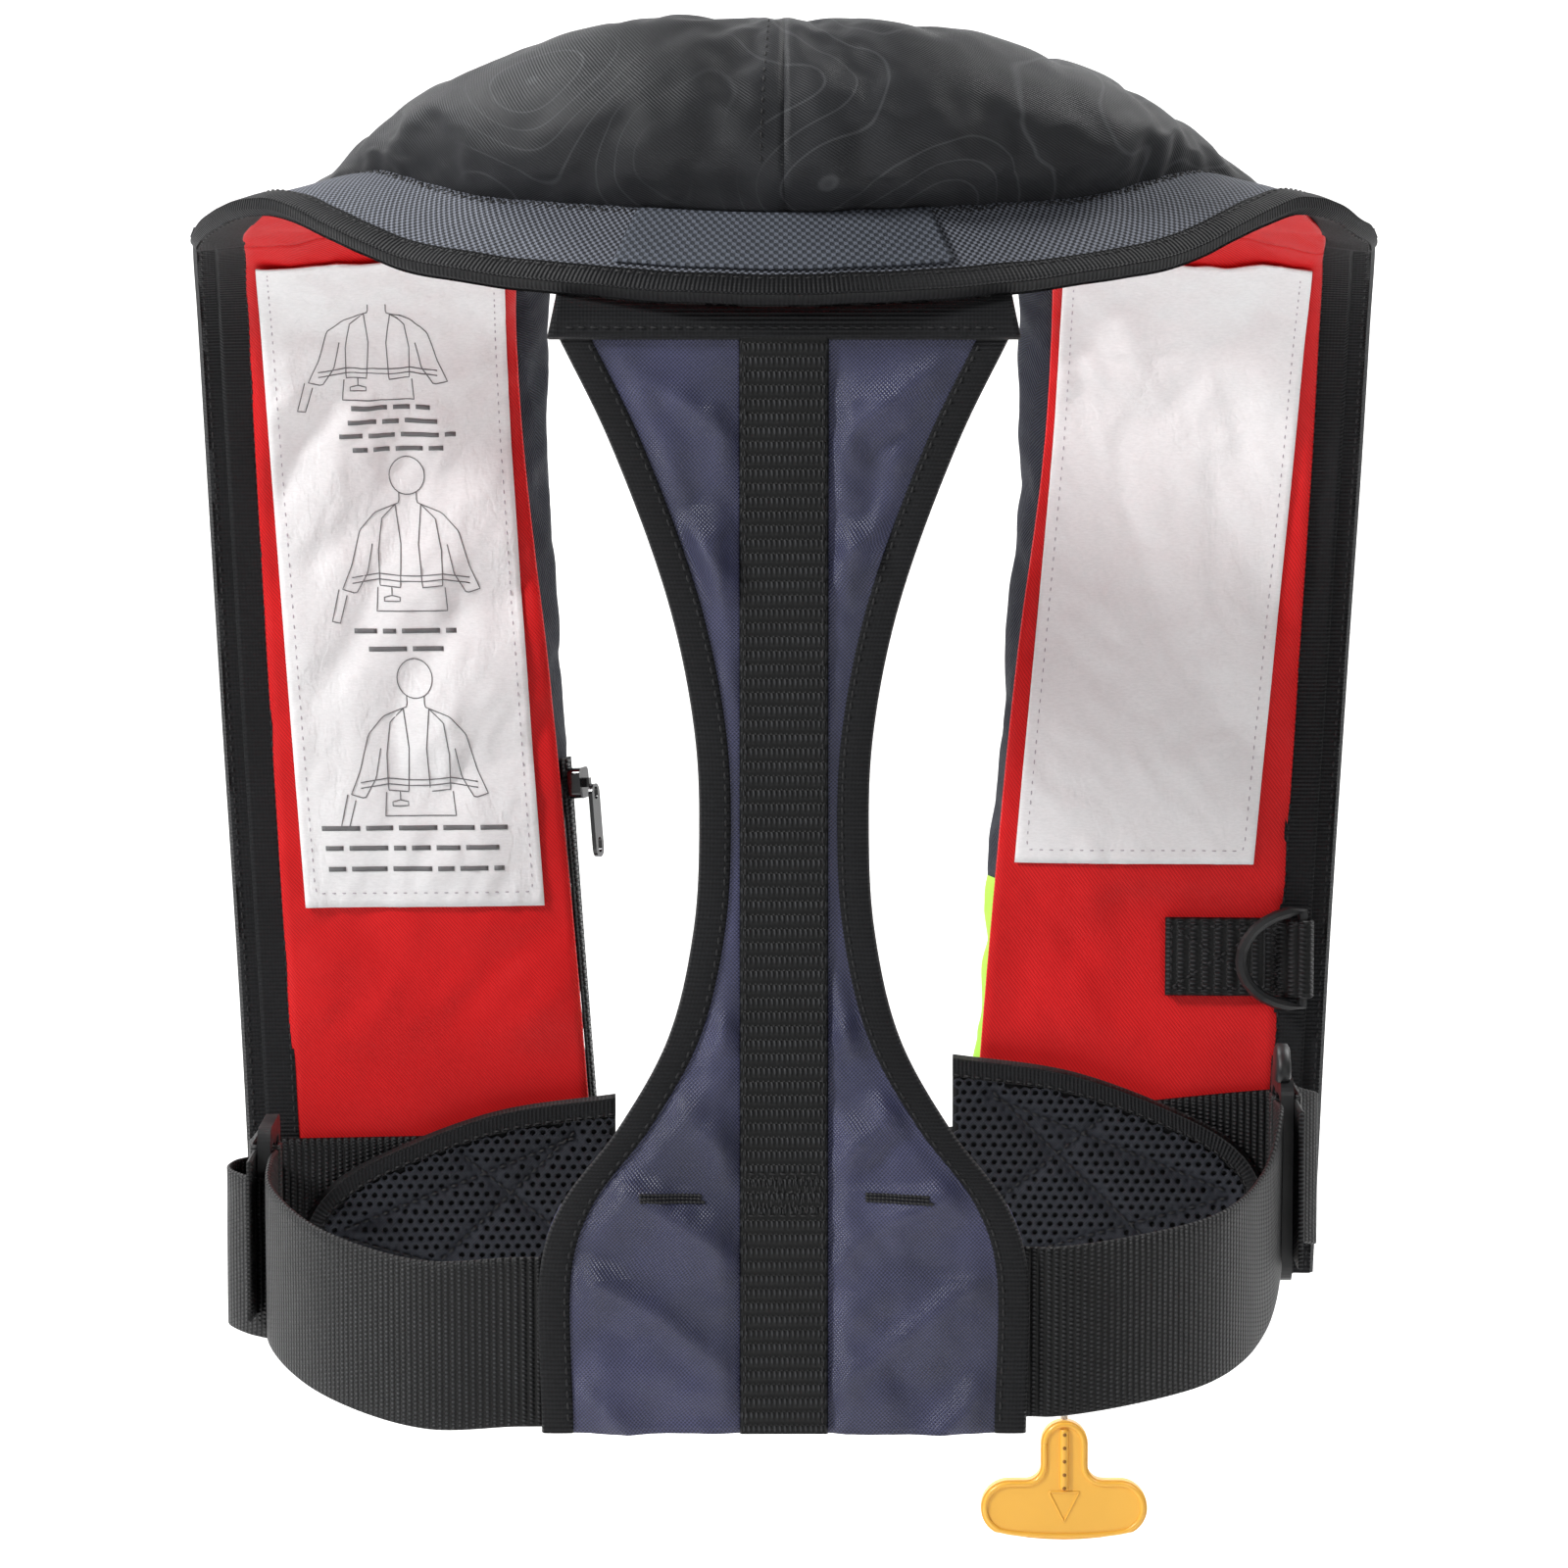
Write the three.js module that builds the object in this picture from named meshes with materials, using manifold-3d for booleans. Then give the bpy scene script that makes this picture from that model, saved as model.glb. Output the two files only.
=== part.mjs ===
// Inflatable life jacket in its worn shape: collar and chest lobes around the neck, back yoke,
// waist belt and hardware.
// Millimetres. The wearer faces +Y with their right hand towards +X, and +Z is up.
// The origin is the point between the shoulders where the jacket hangs on the wearer.
import * as THREE from "three";
import { mergeVertices } from "three/addons/utils/BufferGeometryUtils.js";
import Module from "manifold-3d";

const wasm = await Module();
wasm.setup();

// ---- Driving sizes ----
const GAP = 0.3; // between pieces that lie on each other
const LOOSE_GAP = 0.7; // the same, on curved cloth
const RIGHT_LIFT = 13; // the wearer's right lobe hangs this much higher than the left one
const LOBE_THICK = 36; // folded bladder in its cover, on the chest
const SHOULDER_THICK = 10;
const COLLAR_THICK = 30;
const COVER_WALL = 1.4;
const BACKING_THICK = 1.5;
const LABEL_THICK = 0.5;
const EDGE_BINDING = 9; // visible width of the folded edge tape
const TRIM_WIDTH = 22; // coarse woven band round the collar
const TRIM_THICK = 2.4;
const STRAP_WIDTH = 25.4; // back strap and D-ring tab
const BELT_WIDTH = 50;
const WEB_THICK = 1.6;
const PAD_THICK = 3.4;
const YOKE_THICK = 1.5;
const YOKE_BINDING = 9.5;
const BELT_DROP = -315; // height of the belt's middle at the back
const CYLINDER_RADIUS = 12.7; // gas cylinder
const CYLINDER_LENGTH = 112;
const TUBE_RADIUS = 6.5; // oral inflation tube
const LANYARD_RADIUS = 1.2;

const V = (x, y, z) => new THREE.Vector3(x, y, z);
const P = (x, y) => new THREE.Vector2(x, y);
const part = new THREE.Group();

const COLOURS = {
  printed: [0x26282c, 0.6, 0],
  navy: [0x1b2033, 0.6, 0],
  indigo: [0x3a3f58, 0.5, 0],
  red: [0xc8161d, 0.6, 0],
  trim: [0x6f747d, 0.8, 0],
  label: [0xeeecea, 0.7, 0],
  hivis: [0xb6f23c, 0.6, 0],
  tape: [0x1d1e20, 0.8, 0],
  webbing: [0x121314, 0.85, 0],
  mesh: [0x15171c, 0.9, 0],
  bladder: [0xf2c81e, 0.4, 0],
  plastic: [0x161718, 0.45, 0],
  zipper: [0x0d0d0e, 0.25, 0.4],
  steel: [0xb8bcc0, 0.3, 1],
  yellow: [0xfbb62f, 0.4, 0],
  cord: [0xe9e6dc, 0.8, 0],
};
const materials = Object.fromEntries(
  Object.entries(COLOURS).map(([name, [color, roughness, metalness]]) => [
    name,
    new THREE.MeshStandardMaterial({ color, roughness, metalness, name }),
  ]),
);

function add(name, material, geometry) {
  const mesh = new THREE.Mesh(geometry, materials[material]);
  mesh.name = name;
  part.add(mesh);
  return mesh;
}

// ---- Making closed solids ----

// steps + 1 evenly spaced numbers.
const range = (from, to, steps) =>
  Array.from({ length: steps + 1 }, (_, i) => (steps ? from + ((to - from) * i) / steps : from));

// The triangles of an outline whose points pair up across it, first with last.
function ladder(n) {
  return range(0, n / 2 - 2, n / 2 - 2).flatMap((i) => [
    [i, i + 1, n - 2 - i],
    [i, n - 2 - i, n - 1 - i],
  ]);
}

// The triangles of any plain outline, turned the way that it runs.
function filled(outline) {
  const caps = THREE.ShapeUtils.triangulateShape(outline, []);
  const area = caps.reduce((sum, cap) => sum + THREE.ShapeUtils.area(cap.map((i) => outline[i])), 0);
  return area * THREE.ShapeUtils.area(outline) > 0 ? caps : caps.map(([a, b, c]) => [a, c, b]);
}

// A closed solid through rings of points, with the same triangles over its first and last ring. A loop has none, and its
// last ring joins its first.
function loft(rings, caps = ladder(rings[0].length)) {
  const n = rings[0].length;
  const points = rings.flat();
  const faces = [];
  const joins = caps.length ? rings.length - 1 : rings.length;
  for (let i = 0; i < joins; i++) {
    const next = ((i + 1) % rings.length) * n;
    for (let j = 0; j < n; j++) {
      const [a, b] = [i * n + j, i * n + ((j + 1) % n)];
      const [c, d] = [next + j, next + ((j + 1) % n)];
      // The shorter diagonal, so that surfaces that lie on each other crease alike.
      const level = points[a].distanceTo(points[d]) < points[b].distanceTo(points[c]);
      faces.push(...(level ? [[a, b, d], [a, d, c]] : [[a, b, c], [b, d, c]]));
    }
  }
  const last = (rings.length - 1) * n;
  for (const [a, b, c] of caps) faces.push([a, c, b], [last + a, last + b, last + c]);
  let volume = 0;
  for (const [a, b, c] of faces) volume += points[a].dot(points[b].clone().cross(points[c]));
  const index = faces.flatMap(([a, b, c]) => (volume < 0 ? [a, c, b] : [a, b, c]));
  return new THREE.BufferGeometry().setFromPoints(points).setIndex(index);
}

// Turns a solid's faces outwards again after it was mirrored.
function turnOut(geometry) {
  const { position } = geometry.attributes;
  const index = [...geometry.index.array];
  const corner = (i) => V(0, 0, 0).fromBufferAttribute(position, i);
  let volume = 0;
  for (let i = 0; i < index.length; i += 3) {
    const [a, b, c] = index.slice(i, i + 3).map(corner);
    volume += a.dot(b.cross(c));
  }
  return volume > 0 ? geometry : geometry.setIndex(index.reverse());
}

function rectangle(x0, x1, y0, y1) {
  return [P(x0, y0), P(x1, y0), P(x1, y1), P(x0, y1)];
}

function roundedShape(width, height, radius) {
  const [x, y] = [width / 2, height / 2];
  const shape = new THREE.Shape();
  shape.moveTo(-x + radius, -y);
  shape.absarc(x - radius, -y + radius, radius, -Math.PI / 2, 0);
  shape.absarc(x - radius, y - radius, radius, 0, Math.PI / 2);
  shape.absarc(-x + radius, y - radius, radius, Math.PI / 2, Math.PI);
  shape.absarc(-x + radius, -y + radius, radius, Math.PI, Math.PI * 1.5);
  return shape;
}

// A plate of the shape, thick along Z and centred on it.
function plate(shape, thick, curveSegments = 5) {
  return new THREE.ExtrudeGeometry(shape, { depth: thick, bevelEnabled: false, curveSegments }).translate(
    0,
    0,
    -thick / 2,
  );
}

function solidOf(geometry) {
  const bare = geometry.index ? geometry.toNonIndexed() : geometry.clone();
  bare.deleteAttribute("normal");
  bare.deleteAttribute("uv");
  const merged = mergeVertices(bare, 1e-3);
  return new wasm.Manifold(
    new wasm.Mesh({
      numProp: 3,
      vertProperties: new Float32Array(merged.attributes.position.array),
      triVerts: new Uint32Array(merged.index.array),
    }),
  );
}

function geometryOf(solid) {
  const mesh = solid.getMesh();
  return new THREE.BufferGeometry()
    .setAttribute("position", new THREE.BufferAttribute(new Float32Array(mesh.vertProperties), 3))
    .setIndex(new THREE.BufferAttribute(new Uint32Array(mesh.triVerts), 1));
}

const cut = (from, ...tools) => geometryOf(tools.reduce((s, t) => s.subtract(solidOf(t)), solidOf(from)));
const join = (first, ...others) => geometryOf(others.reduce((s, o) => s.add(solidOf(o)), solidOf(first)));
const box = (x, y, z) => new THREE.BoxGeometry(x, y, z);
// A cylinder along Z.
const rod = (radius, length, sides = 20) =>
  new THREE.CylinderGeometry(radius, radius, length, sides).rotateX(Math.PI / 2);

// ---- The band: one long strip from foot to foot, over the shoulders and round the neck ----
// Its inner rail runs beside the neck and its outer rail along the arms. Each has a point at every station, numbered from
// the right foot (0) to the back of the neck (9) and on to the left foot (18).
const INNER_RAIL = [
  [60, 99, -348],
  [67, 100, -250],
  [76, 101, -150],
  [84, 97, -75],
  [86, 78, -28],
  [84, 45, 0],
  [80, 8, 18],
  [70, -28, 34],
  [44, -52, 46],
  [0, -60, 50],
];
const OUTER_RAIL = [
  [172, 92, -348],
  [176, 93, -250],
  [181, 92, -150],
  [184, 86, -75],
  [184, 66, -30],
  [182, 36, -6],
  [177, 0, 2],
  [152, -42, 9],
  [100, -90, -9],
  [0, -115, -17],
];
const CENTRE = INNER_RAIL.length - 1;
const LAST = CENTRE * 2;
const STEP = 0.36; // stations between the rings of points that all pieces of the band share
const SHOULDER = 15 * STEP; // station of the seam between the chest and collar covers

function rail(points) {
  const right = points.map(([x, y, z]) => {
    const share = THREE.MathUtils.smoothstep(-z, 60, 180);
    return V(x, y, z + RIGHT_LIFT * share);
  });
  const left = points.map(([x, y, z]) => V(-x, y, z)).reverse();
  return new THREE.CatmullRomCurve3([...right, ...left.slice(1)], false, "catmullrom", 0.5);
}
const inner = rail(INNER_RAIL);
const outer = rail(OUTER_RAIL);

// The band at a station: its width there, and point(s, v), s millimetres from the inner rail and v off the body.
function station(k) {
  const t = k / LAST;
  const from = inner.getPoint(t);
  const across = outer.getPoint(t).sub(from);
  const width = across.length();
  across.normalize();
  const along = inner.getTangent(t).add(outer.getTangent(t)).normalize();
  const normal = along.clone().cross(across).normalize();
  const point = (s, v) => from.clone().addScaledVector(across, s).addScaledVector(normal, v);
  return { k, width, point };
}

// A solid along the band. section(width, k) gives its outline there as [s, v] pairs.
function alongBand(from, to, section) {
  const shared = range(0, LAST, Math.round(LAST / STEP)).filter((k) => k > from + 0.02 && k < to - 0.02);
  const stations = [from, ...shared, to].map(station);
  const outlines = stations.map((q) => section(q.width, q.k));
  const rings = stations.map((q, i) => outlines[i].map(([s, v]) => q.point(s, v)));
  return loft(rings);
}

// How far station k is from the lobes, 0 on them and 1 at the back of the neck.
const towardsNeck = (k) => THREE.MathUtils.smoothstep(Math.min(k, LAST - k), 5.4, 7.6);
const trimWidth = (k) => TRIM_WIDTH * THREE.MathUtils.smoothstep(Math.min(k, LAST - k), 5.5, 6.9);

// The padding is thick on the chest and behind the neck, and thin where the jacket bends over the shoulders.
function bandThick(k) {
  const { lerp, smoothstep } = THREE.MathUtils;
  const fromFoot = Math.min(k, LAST - k);
  const chest = lerp(LOBE_THICK, SHOULDER_THICK, smoothstep(fromFoot, 3, 4.6));
  return lerp(chest, COLLAR_THICK, smoothstep(fromFoot, 6, 8.6));
}
// The lobes carry two strips of edge tape side by side, the collar one.
const stripWidth = (k) => EDGE_BINDING * THREE.MathUtils.lerp(2, 1, towardsNeck(k));
const coverWidth = (width, k) => width - stripWidth(k) - trimWidth(k) - GAP;
const backingWidth = (width, k) => width - stripWidth(k) - GAP;
// The padded cover bulges past the backing's inner edge, most at the top of the chest.
const bulge = (k) => 3.5 + 10 * THREE.MathUtils.smoothstep(Math.min(k, LAST - k), 0.8, 4) - 9 * towardsNeck(k);

const DOME_POINTS = 8;
const SIDE_SHARE = 0.34; // of the thickness, where the cover's sides meet its rounded top

// The padded cover's top line, set in from its outer face, from the inner side to the outer.
function coverTop(width, k, inset) {
  const [from, to] = [inset - bulge(k), coverWidth(width, k) - inset];
  return range(0, Math.PI, DOME_POINTS).map((angle) => {
    const rise = SIDE_SHARE + (1 - SIDE_SHARE) * Math.sin(angle) ** 0.8;
    return [THREE.MathUtils.lerp(from, to, (1 - Math.cos(angle)) / 2), bandThick(k) * rise - inset];
  });
}

function coverSection(width, k) {
  const w = coverWidth(width, k);
  const inside = coverTop(width, k, COVER_WALL).reverse();
  return [[0, 0], ...coverTop(width, k, 0), [w, 0], [w - COVER_WALL, 0], ...inside, [COVER_WALL + 0.3, 0]];
}

function bands() {
  const edge = (v0, v1, from, to) => (width, k) =>
    rectangle(from(width, k), to(width, k), v0, v1).map((p) => [p.x, p.y]);
  const seam = 0.005; // half the gap between neighbouring panels, in stations
  const left = LAST - SHOULDER;
  add("collar_cover_right", "printed", alongBand(SHOULDER + seam, CENTRE - seam, coverSection));
  add("collar_cover_left", "printed", alongBand(CENTRE + seam, left - seam, coverSection));
  const hivisFrom = stationAt(1, HIVIS.low);
  const hivisTo = stationAt(1, HIVIS.high);
  add("chest_cover_right", "navy", alongBand(hivisTo + seam, SHOULDER - seam, coverSection));
  add("hivis_panel", "hivis", alongBand(hivisFrom + seam, hivisTo - seam, coverSection));
  add("inflator_cover", "navy", alongBand(0, hivisFrom - seam, coverSection));
  add("chest_cover_left", "navy", alongBand(left + seam, LAST, coverSection));

  const backing = (width, k) => {
    const across = [0, coverWidth(width, k), backingWidth(width, k)];
    return [...across.map((s) => [s, -GAP - BACKING_THICK]), ...across.reverse().map((s) => [s, -GAP])];
  };
  add("backing_right", "red", alongBand(0, SHOULDER - seam, backing));
  add("backing_collar", "red", alongBand(SHOULDER + seam, left - seam, backing));
  add("backing_left", "red", alongBand(left + seam, LAST, backing));

  const trimFrom = 16 * STEP;
  const beside = (w, k) => coverWidth(w, k) + LOOSE_GAP;
  const trim = edge(0, TRIM_THICK, beside, (w, k) => w - stripWidth(k) - 2 * GAP);
  add("collar_trim", "trim", alongBand(trimFrom, LAST - trimFrom, trim));
  const patchHalf = 0.48; // stations
  const inTrim = [(w, k) => coverWidth(w, k) + 1, (w, k) => w - stripWidth(k) - 1];
  const patch = edge(TRIM_THICK + LOOSE_GAP, TRIM_THICK + 1.5, ...inTrim);
  add("collar_patch", "trim", alongBand(CENTRE - patchHalf, CENTRE + patchHalf, patch));

  const tape = edge(-TAPE_FOLD, 1.6, (w, k) => w - stripWidth(k), (w, k) => w - stripWidth(k) / 2 - GAP);
  const flap = edge(0.4, 5, (w, k) => w - stripWidth(k) / 2, (w) => w);
  const collarTape = edge(-TAPE_FOLD, 3, (w, k) => w - stripWidth(k), (w) => w);
  add("edge_binding_right", "tape", alongBand(0, SHOULDER - seam, tape));
  add("edge_binding_left", "tape", alongBand(left + seam, LAST, tape));
  add("closure_flap_right", "tape", alongBand(0, SHOULDER - seam, flap));
  add("closure_flap_left", "tape", alongBand(left + seam, LAST, flap));
  add("collar_binding", "tape", alongBand(SHOULDER + seam, left - seam, collarTape));
}

// The panel that closes a lobe's foot. The lanyard leaves the right one through an eyelet.
function footPanels() {
  for (const [name, side] of Object.entries(SIDES)) {
    const q = station(side > 0 ? 0 : LAST);
    const outline = [...coverTop(q.width, q.k, 0), [q.width, 0], [q.width, BODY_FACE], [0, BODY_FACE]];
    const ring = (drop) => outline.map(([s, v]) => q.point(s, v).setZ(q.point(0, 0).z - drop));
    const plan = filled(outline.map(([s, v]) => P(s, v)));
    const panel = loft([ring(LOOSE_GAP), ring(LOOSE_GAP + COVER_WALL)], plan);
    const hole = rod(EYELET.radius, 20, 16).translate(LANYARD.x, LANYARD.y, q.point(0, 0).z);
    add("foot_panel_" + name, "navy", side > 0 ? cut(panel, hole) : panel);
  }
  const rim = [P(EYELET.bore, 0), P(EYELET.radius + 3, 0), P(EYELET.radius + 3, 1), P(EYELET.radius - GAP, 1)];
  const barrel = [P(EYELET.radius - GAP, GAP + COVER_WALL + 1), P(EYELET.bore, GAP + COVER_WALL + 1)];
  const foot = station(0).point(0, 0).z - LOOSE_GAP - COVER_WALL - GAP - 1;
  const eyelet = new THREE.LatheGeometry([...rim, ...barrel, rim[0]], 16).rotateX(Math.PI / 2);
  add("cord_eyelet", "steel", eyelet).position.set(LANYARD.x, LANYARD.y, foot);
}

// ---- Places on a chest lobe ----

// The station at a height on one side's lobe.
function stationAt(side, z) {
  let [low, high] = side > 0 ? [0, 5] : [LAST, LAST - 5];
  for (let i = 0; i < 40; i++) {
    const middle = (low + high) / 2;
    if (station(middle).point(0, 0).z < z) low = middle;
    else high = middle;
  }
  return low;
}

// A point on a lobe's body side: s from the inner rail, at the height z of that rail, v off the backing (negative inwards).
const onLobe = (side, s, z, v) => station(stationAt(side, z)).point(s, v);

const SIDES = { right: 1, left: -1 };
const TAPE_FOLD = 2; // how far the edge tape wraps over the backing's body side
const BODY_FACE = -GAP - BACKING_THICK; // v of the backing's body side
const HIVIS = { low: -278, high: -207 };
const LABELS = {
  right: { low: -201, high: -1, width: 77, insetLow: 8, insetHigh: 0.5 },
  left: { low: -215, high: -1, width: 77, insetLow: 5, insetHigh: 0.5 },
};

function labels() {
  for (const [name, side] of Object.entries(SIDES)) {
    const { low, high, width, insetLow, insetHigh } = LABELS[name];
    const [from, to] = [low, high].map((z) => stationAt(side, z)).sort((a, b) => a - b);
    const section = (w, k) => {
      const share = side > 0 ? (k - from) / (to - from) : (to - k) / (to - from);
      const outerEdge = backingWidth(w, k) - THREE.MathUtils.lerp(insetLow, insetHigh, share);
      const faces = rectangle(outerEdge - width, outerEdge, BODY_FACE - LOOSE_GAP - LABEL_THICK, BODY_FACE - LOOSE_GAP);
      return faces.map((p) => [p.x, p.y]);
    };
    add("label_" + name, "label", alongBand(from, to, section));
  }
}

// ---- Mesh pads on the lobes' feet, over the belt ----
// The lobe's body side is flat there. Pieces on it are drawn looking from the back: x from the inner edge, y up.
const PAD = {
  right: { top: -263, foot: -331 },
  left: { top: -276, foot: -344 },
  reach: 97,
  fall: 30, // of the top edge, towards the arm
  corner: 16,
  binding: 8,
};
const PAD_FACE = -BODY_FACE + GAP + WEB_THICK + 3 * GAP; // distance off the rails, past the belt

// Seats a flat piece, thick from 0 to its depth, on a lobe's body side at a distance from the rails.
function onFlat(geometry, side, off) {
  const low = station(side > 0 ? 0 : LAST).point(0, 0);
  const across = station(side > 0 ? 0 : LAST).point(100, 0).sub(low).setZ(0).normalize();
  const out = V(side * across.y, -side * across.x, 0);
  const frame = new THREE.Matrix4().makeBasis(across, V(0, 0, 1), out);
  return geometry.applyMatrix4(frame.setPosition(low.x + out.x * off, low.y + out.y * off, 0));
}

function pads() {
  const { reach, fall, corner, binding } = PAD;
  for (const [name, side] of Object.entries(SIDES)) {
    const { top, foot } = PAD[name];
    const edge = (inset) => {
      const line = [P(-5, top - inset), P(reach * 0.35, top - fall * 0.18 - inset)];
      line.push(P(reach * 0.72, top - fall * 0.62 - inset));
      line.push(P(reach - corner * 0.55 - inset * 0.5, top - fall - inset * 0.8));
      line.push(P(reach - inset, top - fall - corner), P(reach - inset, foot));
      return new THREE.SplineCurve(line).getPoints(16);
    };
    const outer = edge(0);
    const innerLine = edge(binding + GAP);
    const slab = (outline, from, to) => {
      const rings = [from, to].map((d) => outline.map((p) => V(p.x, p.y, d)));
      return loft(rings, filled(outline));
    };
    const padOutline = [P(-5, foot), ...innerLine];
    const place = (geometry) => turnOut(onFlat(geometry, side, PAD_FACE));
    add("mesh_pad_" + name, "mesh", place(slab(padOutline, 0, PAD_THICK)));
    const ringOutline = [...outer, ...edge(binding).reverse()];
    add("pad_binding_" + name, "tape", place(slab(ringOutline, -0.3, PAD_THICK + 0.5)));
  }
}

// ---- Yoke: the back panel, hourglass shaped, with a sleeve for the belt ----
const YOKE_WAIST = STRAP_WIDTH / 2 + YOKE_BINDING + 2.2; // half its least width
const YOKE_OUTLINE = [
  [-26, 64],
  [-56, 49.6],
  [-103, 32.8],
  [-140, YOKE_WAIST + 1.2],
  [-168, YOKE_WAIST],
  [-196, YOKE_WAIST + 1.6],
  [-227, 33.2],
  [-253, 47.5],
  [-275, 64],
  [-292, 70],
  [-342, 70],
];
const YOKE_BACK = -105; // outer face at top and foot
const YOKE_HOLLOW = 7; // the small of the back lies this much further in
const TAPE_PROUD = 0.4; // how far the edge tape stands off the panel's inner face
const HEAD_THICK = 1.6;
// Half width, place and height of the head's folded tape, from its free edge up.
const YOKE_HEAD = [
  [56, YOKE_BACK + 2.8, -30],
  [59, YOKE_BACK + 3.6, -22],
  [62, YOKE_BACK + 14, -10],
];
const yokeEdge = new THREE.CatmullRomCurve3(
  YOKE_OUTLINE.map(([z, x]) => V(x, 0, z)),
  false,
  "centripetal",
);
const yokeStations = range(0, 1, 28).map((t) => {
  const p = yokeEdge.getPoint(t);
  const share = (p.z - YOKE_OUTLINE[0][0]) / (YOKE_OUTLINE.at(-1)[0] - YOKE_OUTLINE[0][0]);
  return { half: p.x, z: p.z, y: YOKE_BACK + YOKE_HOLLOW * Math.sin(Math.PI * Math.min(share * 1.25, 1)) };
});

// A piece of the yoke between two heights, from x0(half) to x1(half), and y0 to y1 behind the outer face.
function yokePiece(low, high, x0, x1, y0, y1) {
  const rings = yokeStations
    .filter((q) => q.z >= low && q.z <= high)
    .map((q) => rectangle(x0(q.half), x1(q.half), q.y + y0, q.y + y1).map((p) => V(p.x, p.y, q.z)));
  return loft(rings);
}

const SLEEVE_TOP = -276;
const inPanel = (half) => half - YOKE_BINDING - GAP;
function yoke() {
  const whole = (x0, x1, y0, y1) => yokePiece(-Infinity, Infinity, x0, x1, y0, y1);
  add("yoke_panel", "indigo", whole((h) => -inPanel(h), inPanel, 0, YOKE_THICK));
  const strap = STRAP_WIDTH / 2;
  add("back_strap", "webbing", whole(() => -strap, () => strap, -GAP - WEB_THICK, -GAP));
  const tape = [-0.6, YOKE_THICK + TAPE_PROUD];
  add("yoke_binding_right", "tape", whole((h) => h - YOKE_BINDING, (h) => h, ...tape));
  add("yoke_binding_left", "tape", whole((h) => -h, (h) => YOKE_BINDING - h, ...tape));
  const behind = YOKE_THICK + TAPE_PROUD + 3 * GAP + WEB_THICK;
  const sleeve = yokePiece(-Infinity, SLEEVE_TOP, (h) => -h, (h) => h, behind, behind + YOKE_THICK);
  add("belt_sleeve", "indigo", sleeve);
  // The yoke's head, folded up under the collar's edge.
  const rings = YOKE_HEAD.map(([half, y, z]) => {
    const under = [y + HEAD_THICK, z - 1];
    return [V(-half, y, z), V(half, y, z), V(half, ...under), V(-half, ...under)];
  });
  add("yoke_head", "tape", loft(rings));
}

// ---- Webbing ----

// Webbing on edge: it follows centre points, its width upright.
function webbing(points, width, steps, thick = WEB_THICK) {
  const path = new THREE.CatmullRomCurve3(points, false, "centripetal");
  const rings = range(0, 1, steps).map((t) => {
    const p = path.getPoint(t);
    const way = path.getTangent(t).setZ(0).normalize();
    const out = V(way.y, -way.x, 0);
    return rectangle(-thick / 2, thick / 2, -width / 2, width / 2).map((c) =>
      p.clone().addScaledVector(out, c.x).setZ(p.z + c.y),
    );
  });
  return loft(rings);
}

const BELT_Y = YOKE_BACK + YOKE_THICK + TAPE_PROUD + 2 * GAP + WEB_THICK / 2;
const ADJUSTER = { tall: BELT_WIDTH + 14, long: 34, thick: 4, bar: 5 };
const ADJUSTERS = {
  right: { x: 156, y: 34, z: -291 },
  left: { x: -161, y: 30, z: -306 },
};
const FRONT_Z = { right: -312, left: -314 }; // height of the straps' middle at the lobes' inner edges
const BUCKLE_Y = 97;
// The buckle sits towards the left lobe, so that its plug can be drawn out to the right.
const BUCKLE = {
  from: -48,
  socket: 44,
  plug: 27,
  tall: BELT_WIDTH + 10,
  thick: 13,
  wall: 2.2,
  arm: 7,
  armLength: 22,
  webBar: 5,
};
const PLUG_FROM = BUCKLE.from + BUCKLE.socket + 2 * GAP;

// Plan points round one of an adjuster's bars, dy along the belt from the adjuster's middle. The turn starts on the face
// at x sign from, goes past the bar on its y sign way and ends on the other face.
function roundBar(a, side, dy, from, way) {
  const [x, y] = [ADJUSTER.thick / 2, ADJUSTER.bar / 2];
  const r = GAP + WEB_THICK / 2;
  const turn = [
    [from * (x + r), 0],
    [from * (x + r), way * y],
    [from * (x + r * 0.71), way * (y + r * 0.71)],
    [from * x, way * (y + r)],
    [0, way * (y + r)],
    [-from * x, way * (y + r)],
    [-from * (x + r * 0.71), way * (y + r * 0.71)],
    [-from * (x + r), way * y],
    [-from * (x + r), 0],
  ];
  return turn.map(([px, py]) => V(a.x + side * px, a.y + dy + py, a.z));
}

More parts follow.
